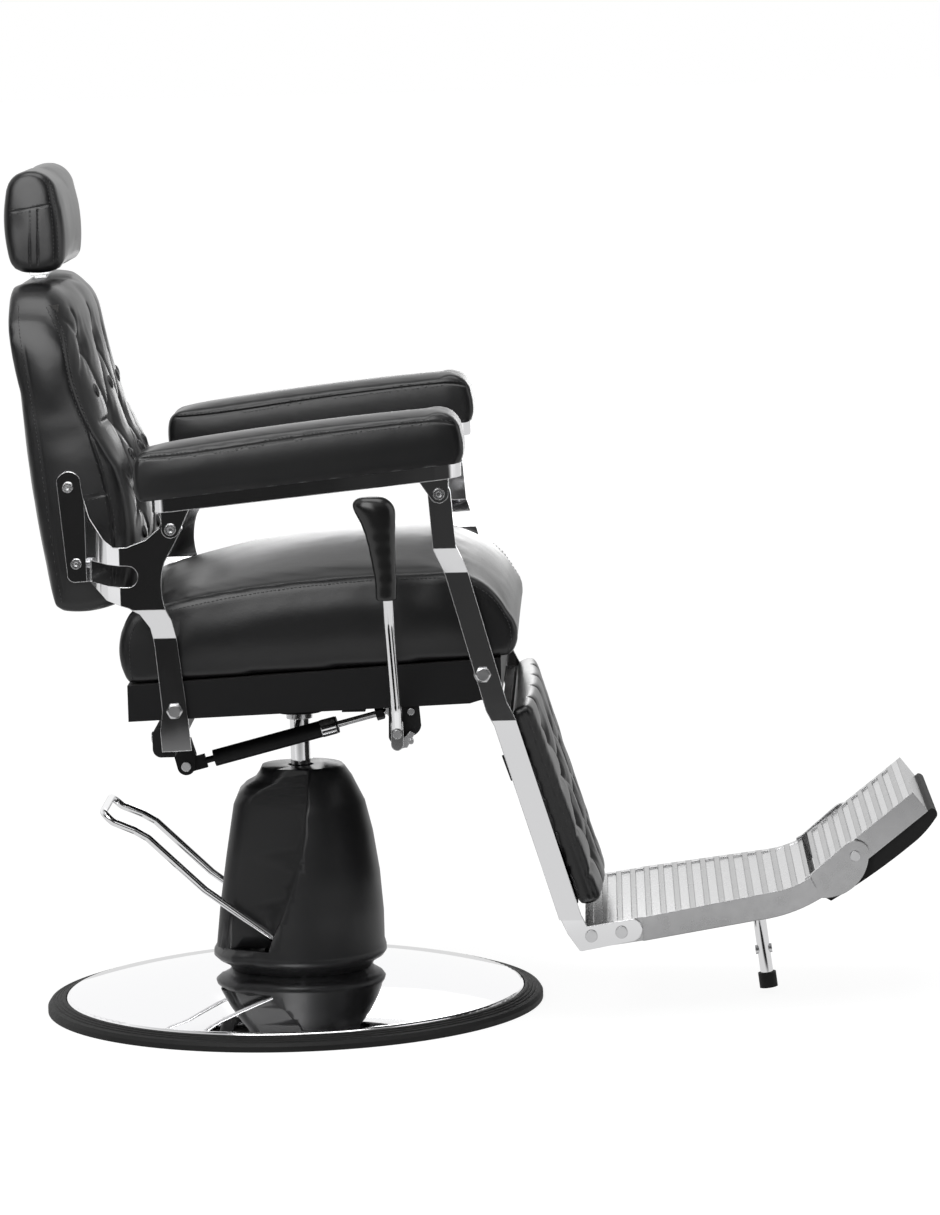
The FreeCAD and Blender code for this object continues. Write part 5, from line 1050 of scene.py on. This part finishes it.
def lever_grip():
    """Moulded grip with finger hollows, wider at its head."""
    around = [math.tau * i / 28 for i in range(28)]
    rings = []
    for z, x, half_x, half_y in GRIP_LEVELS:
        rings.append([((x + half_x * math.cos(a)) / 1000, (GRIP_Y + half_y * math.sin(a)) / 1000, z / 1000)
                      for a in around])
    obj = ringed_mesh("lever_grip_shell", rings)
    finer(obj, 2)
    obj.data.materials.append(MATERIALS["grip_plastic"])
    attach(obj, frame["nodes"]["lever_grip"]["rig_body"])
    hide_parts("lever_grip")


def pump_shell():
    """The moulded cover over the pump, with the light running smoothly over its panels."""
    node = frame["nodes"]["pump_cover"]
    shape = bmesh.new()
    shape.from_mesh(node.data)
    shape.transform(node.matrix_world)
    bmesh.ops.remove_doubles(shape, verts=shape.verts, dist=0.00002)
    mesh = smooth_mesh("pump_shell", shape)
    mesh.set_sharp_from_angle(angle=math.radians(33))
    obj = in_scene("pump_shell", mesh, MATERIALS["black_cover"])
    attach(obj, node["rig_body"])
    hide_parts("pump_cover")


# Room, lamps and camera

def sheet_object(name, corners, material):
    mesh = bpy.data.meshes.new(name)
    mesh.from_pydata(corners, [], [tuple(range(len(corners)))])
    obj = in_scene(name, mesh, material)
    return obj


def smooth_step(tree, value, low, high):
    """0 below low, 1 above high, eased between; low may be the larger."""
    ramp = tree.nodes.new("ShaderNodeMapRange")
    ramp.interpolation_type = "SMOOTHSTEP"
    ramp.inputs["From Min"].default_value = min(low, high)
    ramp.inputs["From Max"].default_value = max(low, high)
    ramp.inputs["To Min"].default_value = 0.0 if low < high else 1.0
    ramp.inputs["To Max"].default_value = 1.0 if low < high else 0.0
    tree.links.new(value, ramp.inputs["Value"])
    return ramp.outputs["Result"]


def parts_of(tree, vector):
    split = tree.nodes.new("ShaderNodeSeparateXYZ")
    tree.links.new(vector, split.inputs["Vector"])
    return split.outputs


def mixed_shaders(tree, share, first, second):
    mix = tree.nodes.new("ShaderNodeMixShader")
    tree.links.new(share, mix.inputs[0])
    tree.links.new(first, mix.inputs[1])
    tree.links.new(second, mix.inputs[2])
    return mix.outputs["Shader"]


def bare_material(name):
    """A material with nothing in it but its output."""
    material = bpy.data.materials.new(name)
    material.use_nodes = True
    tree = material.node_tree
    tree.nodes.clear()
    return material, tree, tree.nodes.new("ShaderNodeOutputMaterial").inputs["Surface"]


# How much of the shadow shows on the floor, and the strength of the sky's light
FLOOR_SHADOW = 0.22
AMBIENT = 0.55
# Painted shadow of the chair: patches of the floor that reflections see dark, the middle of each, and the
# radii between which they fade
PAINTED_SHADOW_SPOTS = [
    ((0.08, -0.50, 0.0), 0.14, 0.18), ((0.07, -0.66, 0.0), 0.14, 0.18),
    ((0.66, -0.36, 0.0), 0.10, 0.24), ((0.56, -0.40, 0.0), 0.06, 0.12), ((0.0, -0.5, 0.0), 0.10, 0.13),
]


def white_floor():
    """White to the eye with a faint shadow; in reflections it falls off to black on the near side and shows
    the chair's painted shadow in dark patches.
    """
    material, tree, out = bare_material("white floor")
    path = tree.nodes.new("ShaderNodeLightPath")
    paper = tree.nodes.new("ShaderNodeBsdfDiffuse")
    paper.inputs["Color"].default_value = (0.9, 0.9, 0.9, 1.0)
    bright = tree.nodes.new("ShaderNodeEmission")
    bright.inputs["Strength"].default_value = 1.16
    seen = tree.nodes.new("ShaderNodeMixShader")
    seen.inputs[0].default_value = FLOOR_SHADOW
    tree.links.new(bright.outputs["Emission"], seen.inputs[1])
    tree.links.new(paper.outputs["BSDF"], seen.inputs[2])
    position = tree.nodes.new("ShaderNodeNewGeometry").outputs["Position"]
    at = parts_of(tree, position)
    away = smooth_step(tree, at["Y"], -3.2, -1.0)
    clear = None
    # Each patch is painted shadow of the chair, seen only in reflections; clear is 1 outside the patches
    for centre, inner, outer in PAINTED_SHADOW_SPOTS:
        apart = tree.nodes.new("ShaderNodeVectorMath")
        apart.operation = "DISTANCE"
        apart.inputs[1].default_value = centre
        tree.links.new(position, apart.inputs[0])
        ring = smooth_step(tree, apart.outputs["Value"], inner, outer)
        clear = times(tree, clear, ring) if clear else ring
    # Reflections also see the floor dimmer by about a fifth close to the chair
    nearer = spread(tree, smooth_step(tree, at["Y"], -0.75, -1.15), 0.78, 1.0)
    lit = spread(tree, times(tree, times(tree, away, clear), nearer), 0.006, 0.93)
    grey = spread(tree, smooth_step(tree, at["X"], -0.45, 0.15), 0.015, 0.036)
    mirrored = tree.nodes.new("ShaderNodeEmission")
    tree.links.new(calculated(tree, "MAXIMUM", lit, times(tree, grey, clear)), mirrored.inputs["Strength"])
    plain = mixed_shaders(tree, path.outputs["Is Camera Ray"], paper.outputs["BSDF"], seen.outputs["Shader"])
    mirrored = mirrored.outputs["Emission"]
    tree.links.new(mixed_shaders(tree, path.outputs["Is Glossy Ray"], plain, mirrored), out)
    return material


def sky():
    """White all round; reflections see a dark patch low down on the viewer's side."""
    world = bpy.context.scene.world or bpy.data.worlds.new("sky")
    bpy.context.scene.world = world
    world.use_nodes = True
    tree = world.node_tree
    tree.nodes.clear()
    out = tree.nodes.new("ShaderNodeOutputWorld")
    path = tree.nodes.new("ShaderNodeLightPath")
    way = parts_of(tree, of_object(tree, "Generated"))
    towards = smooth_step(tree, way["Y"], 0.3, -0.45)
    low = smooth_step(tree, way["Z"], 0.85, 0.25)
    overhead = spread(tree, smooth_step(tree, way["Z"], 0.55, 0.95), 1.0, 0.45)
    ahead = spread(tree, smooth_step(tree, way["X"], 0.2, 0.6), 1.0, 0.3)
    plain, seen, mirrored = (tree.nodes.new("ShaderNodeBackground") for _ in range(3))
    for node in (plain, seen, mirrored):
        node.inputs["Color"].default_value = (1.0, 1.0, 1.0, 1.0)
    plain.inputs["Strength"].default_value = AMBIENT
    level = times(tree, spread(tree, times(tree, towards, low), 1.0, 0.008), times(tree, overhead, ahead))
    tree.links.new(level, mirrored.inputs["Strength"])
    plain, seen, mirrored = (node.outputs["Background"] for node in (plain, seen, mirrored))
    unseen = mixed_shaders(tree, path.outputs["Is Glossy Ray"], plain, mirrored)
    tree.links.new(mixed_shaders(tree, path.outputs["Is Camera Ray"], unseen, seen), out.inputs["Surface"])


# Name, the two ends in plan, the heights of the edges, the heights between which it fades in, the axis along
# which it fades in and out again and where, the strength, and the slants between which its grid shuts it off
PANELS = [
    ("near_panel", (-1.3, -1.6), (0.3, -1.6), (0.7, 2.0), (0.76, 1.05),
     "X", (-1.3, -0.9, -0.15, 0.25), 4.4, None),
    ("front_panel", (1.9, -1.6), (1.9, 0.8), (0.4, 2.4), (0.5, 0.72),
     "Y", (-1.3, -0.9, 0.0, 0.3), 1.3, None),
    ("rear_panel", (-0.3, 0.9), (0.5, 0.9), (0.4, 0.86), (0.46, 0.6),
     "X", (-0.25, 0.0, 0.3, 0.5), 4.6, (0.18, 0.3)),
    ("head_panel", (-0.2, 0.9), (0.7, 0.9), (1.0, 1.4), (1.0, 1.04),
     "X", (-0.2, 0.0, 0.5, 0.7), 0.9, None),
]


def soft_panel(name, start, end, heights, level, axis, fades, light, grid):
    """An upright light that only reflections see, with soft edges."""
    material, tree, out = bare_material(name)
    spot = tree.nodes.new("ShaderNodeNewGeometry")
    at = parts_of(tree, spot.outputs["Position"])
    first, last = smooth_step(tree, at[axis], *fades[:2]), smooth_step(tree, at[axis], fades[3], fades[2])
    share = times(tree, smooth_step(tree, at["Z"], *level), times(tree, first, last))
    if grid:
        slant = calculated(tree, "ABSOLUTE", parts_of(tree, spot.outputs["Incoming"])["X"])
        share = times(tree, share, smooth_step(tree, slant, grid[1], grid[0]))
    glow = tree.nodes.new("ShaderNodeEmission")
    glow.inputs["Strength"].default_value = light
    clear = tree.nodes.new("ShaderNodeBsdfTransparent")
    tree.links.new(mixed_shaders(tree, share, clear.outputs["BSDF"], glow.outputs["Emission"]), out)
    low, high = heights
    panel = sheet_object(name, [(*start, low), (*end, low), (*end, high), (*start, high)], material)
    panel.visible_camera = False
    panel.visible_diffuse = False
    panel.visible_shadow = False


def room():
    corners = [(-40, -40, -0.0005), (40, -40, -0.0005), (40, 40, -0.0005), (-40, 40, -0.0005)]
    sheet_object("floor", corners, white_floor())
    sky()
    for panel in PANELS:
        soft_panel(*panel)


def lamp(name, place_at, aim, size, power):
    light = bpy.data.lights.new(name, "AREA")
    light.shape = "RECTANGLE"
    light.size = size[0]
    light.size_y = size[1]
    light.energy = power
    obj = bpy.data.objects.new(name, light)
    obj.location = place_at
    obj.rotation_euler = (Vector(aim) - Vector(place_at)).to_track_quat("-Z", "Y").to_euler()
    bpy.context.scene.collection.objects.link(obj)


def camera():
    """Long lens, a little above the seat, rolled slightly as in the photograph."""
    right = Vector((0.99939607, 0.02281111, -0.02621362))
    up = Vector((0.02314493, 0.12571201, 0.99179675))
    ahead = Vector((-0.02591935, 0.99180449, -0.12510813))
    data = bpy.data.cameras.new("camera")
    data.lens = 159.94
    data.sensor_width = 36.0
    data.clip_end = 200.0
    obj = bpy.data.objects.new("camera", data)
    turn = Matrix((right, up, -ahead)).transposed().to_4x4()
    obj.matrix_world = Matrix.Translation((0.4308, -7.074, 1.4163)) @ turn
    bpy.context.scene.collection.objects.link(obj)
    bpy.context.scene.camera = obj


dress_frame()
seat_cover()
back_cover()
headrest_cover()
arm_covers()
legrest_cover()
lever_grip()
pump_shell()
room()
lamp("top light", (0.1, -0.5, 3.0), (0.1, 0.0, 0.5), (2.2, 1.6), 34.0)
lamp("key light", (-0.7, -1.9, 2.0), (-0.25, 0.0, 0.9), (0.9, 0.9), 14.0)
camera()
bpy.context.scene.view_settings.view_transform = "Standard"
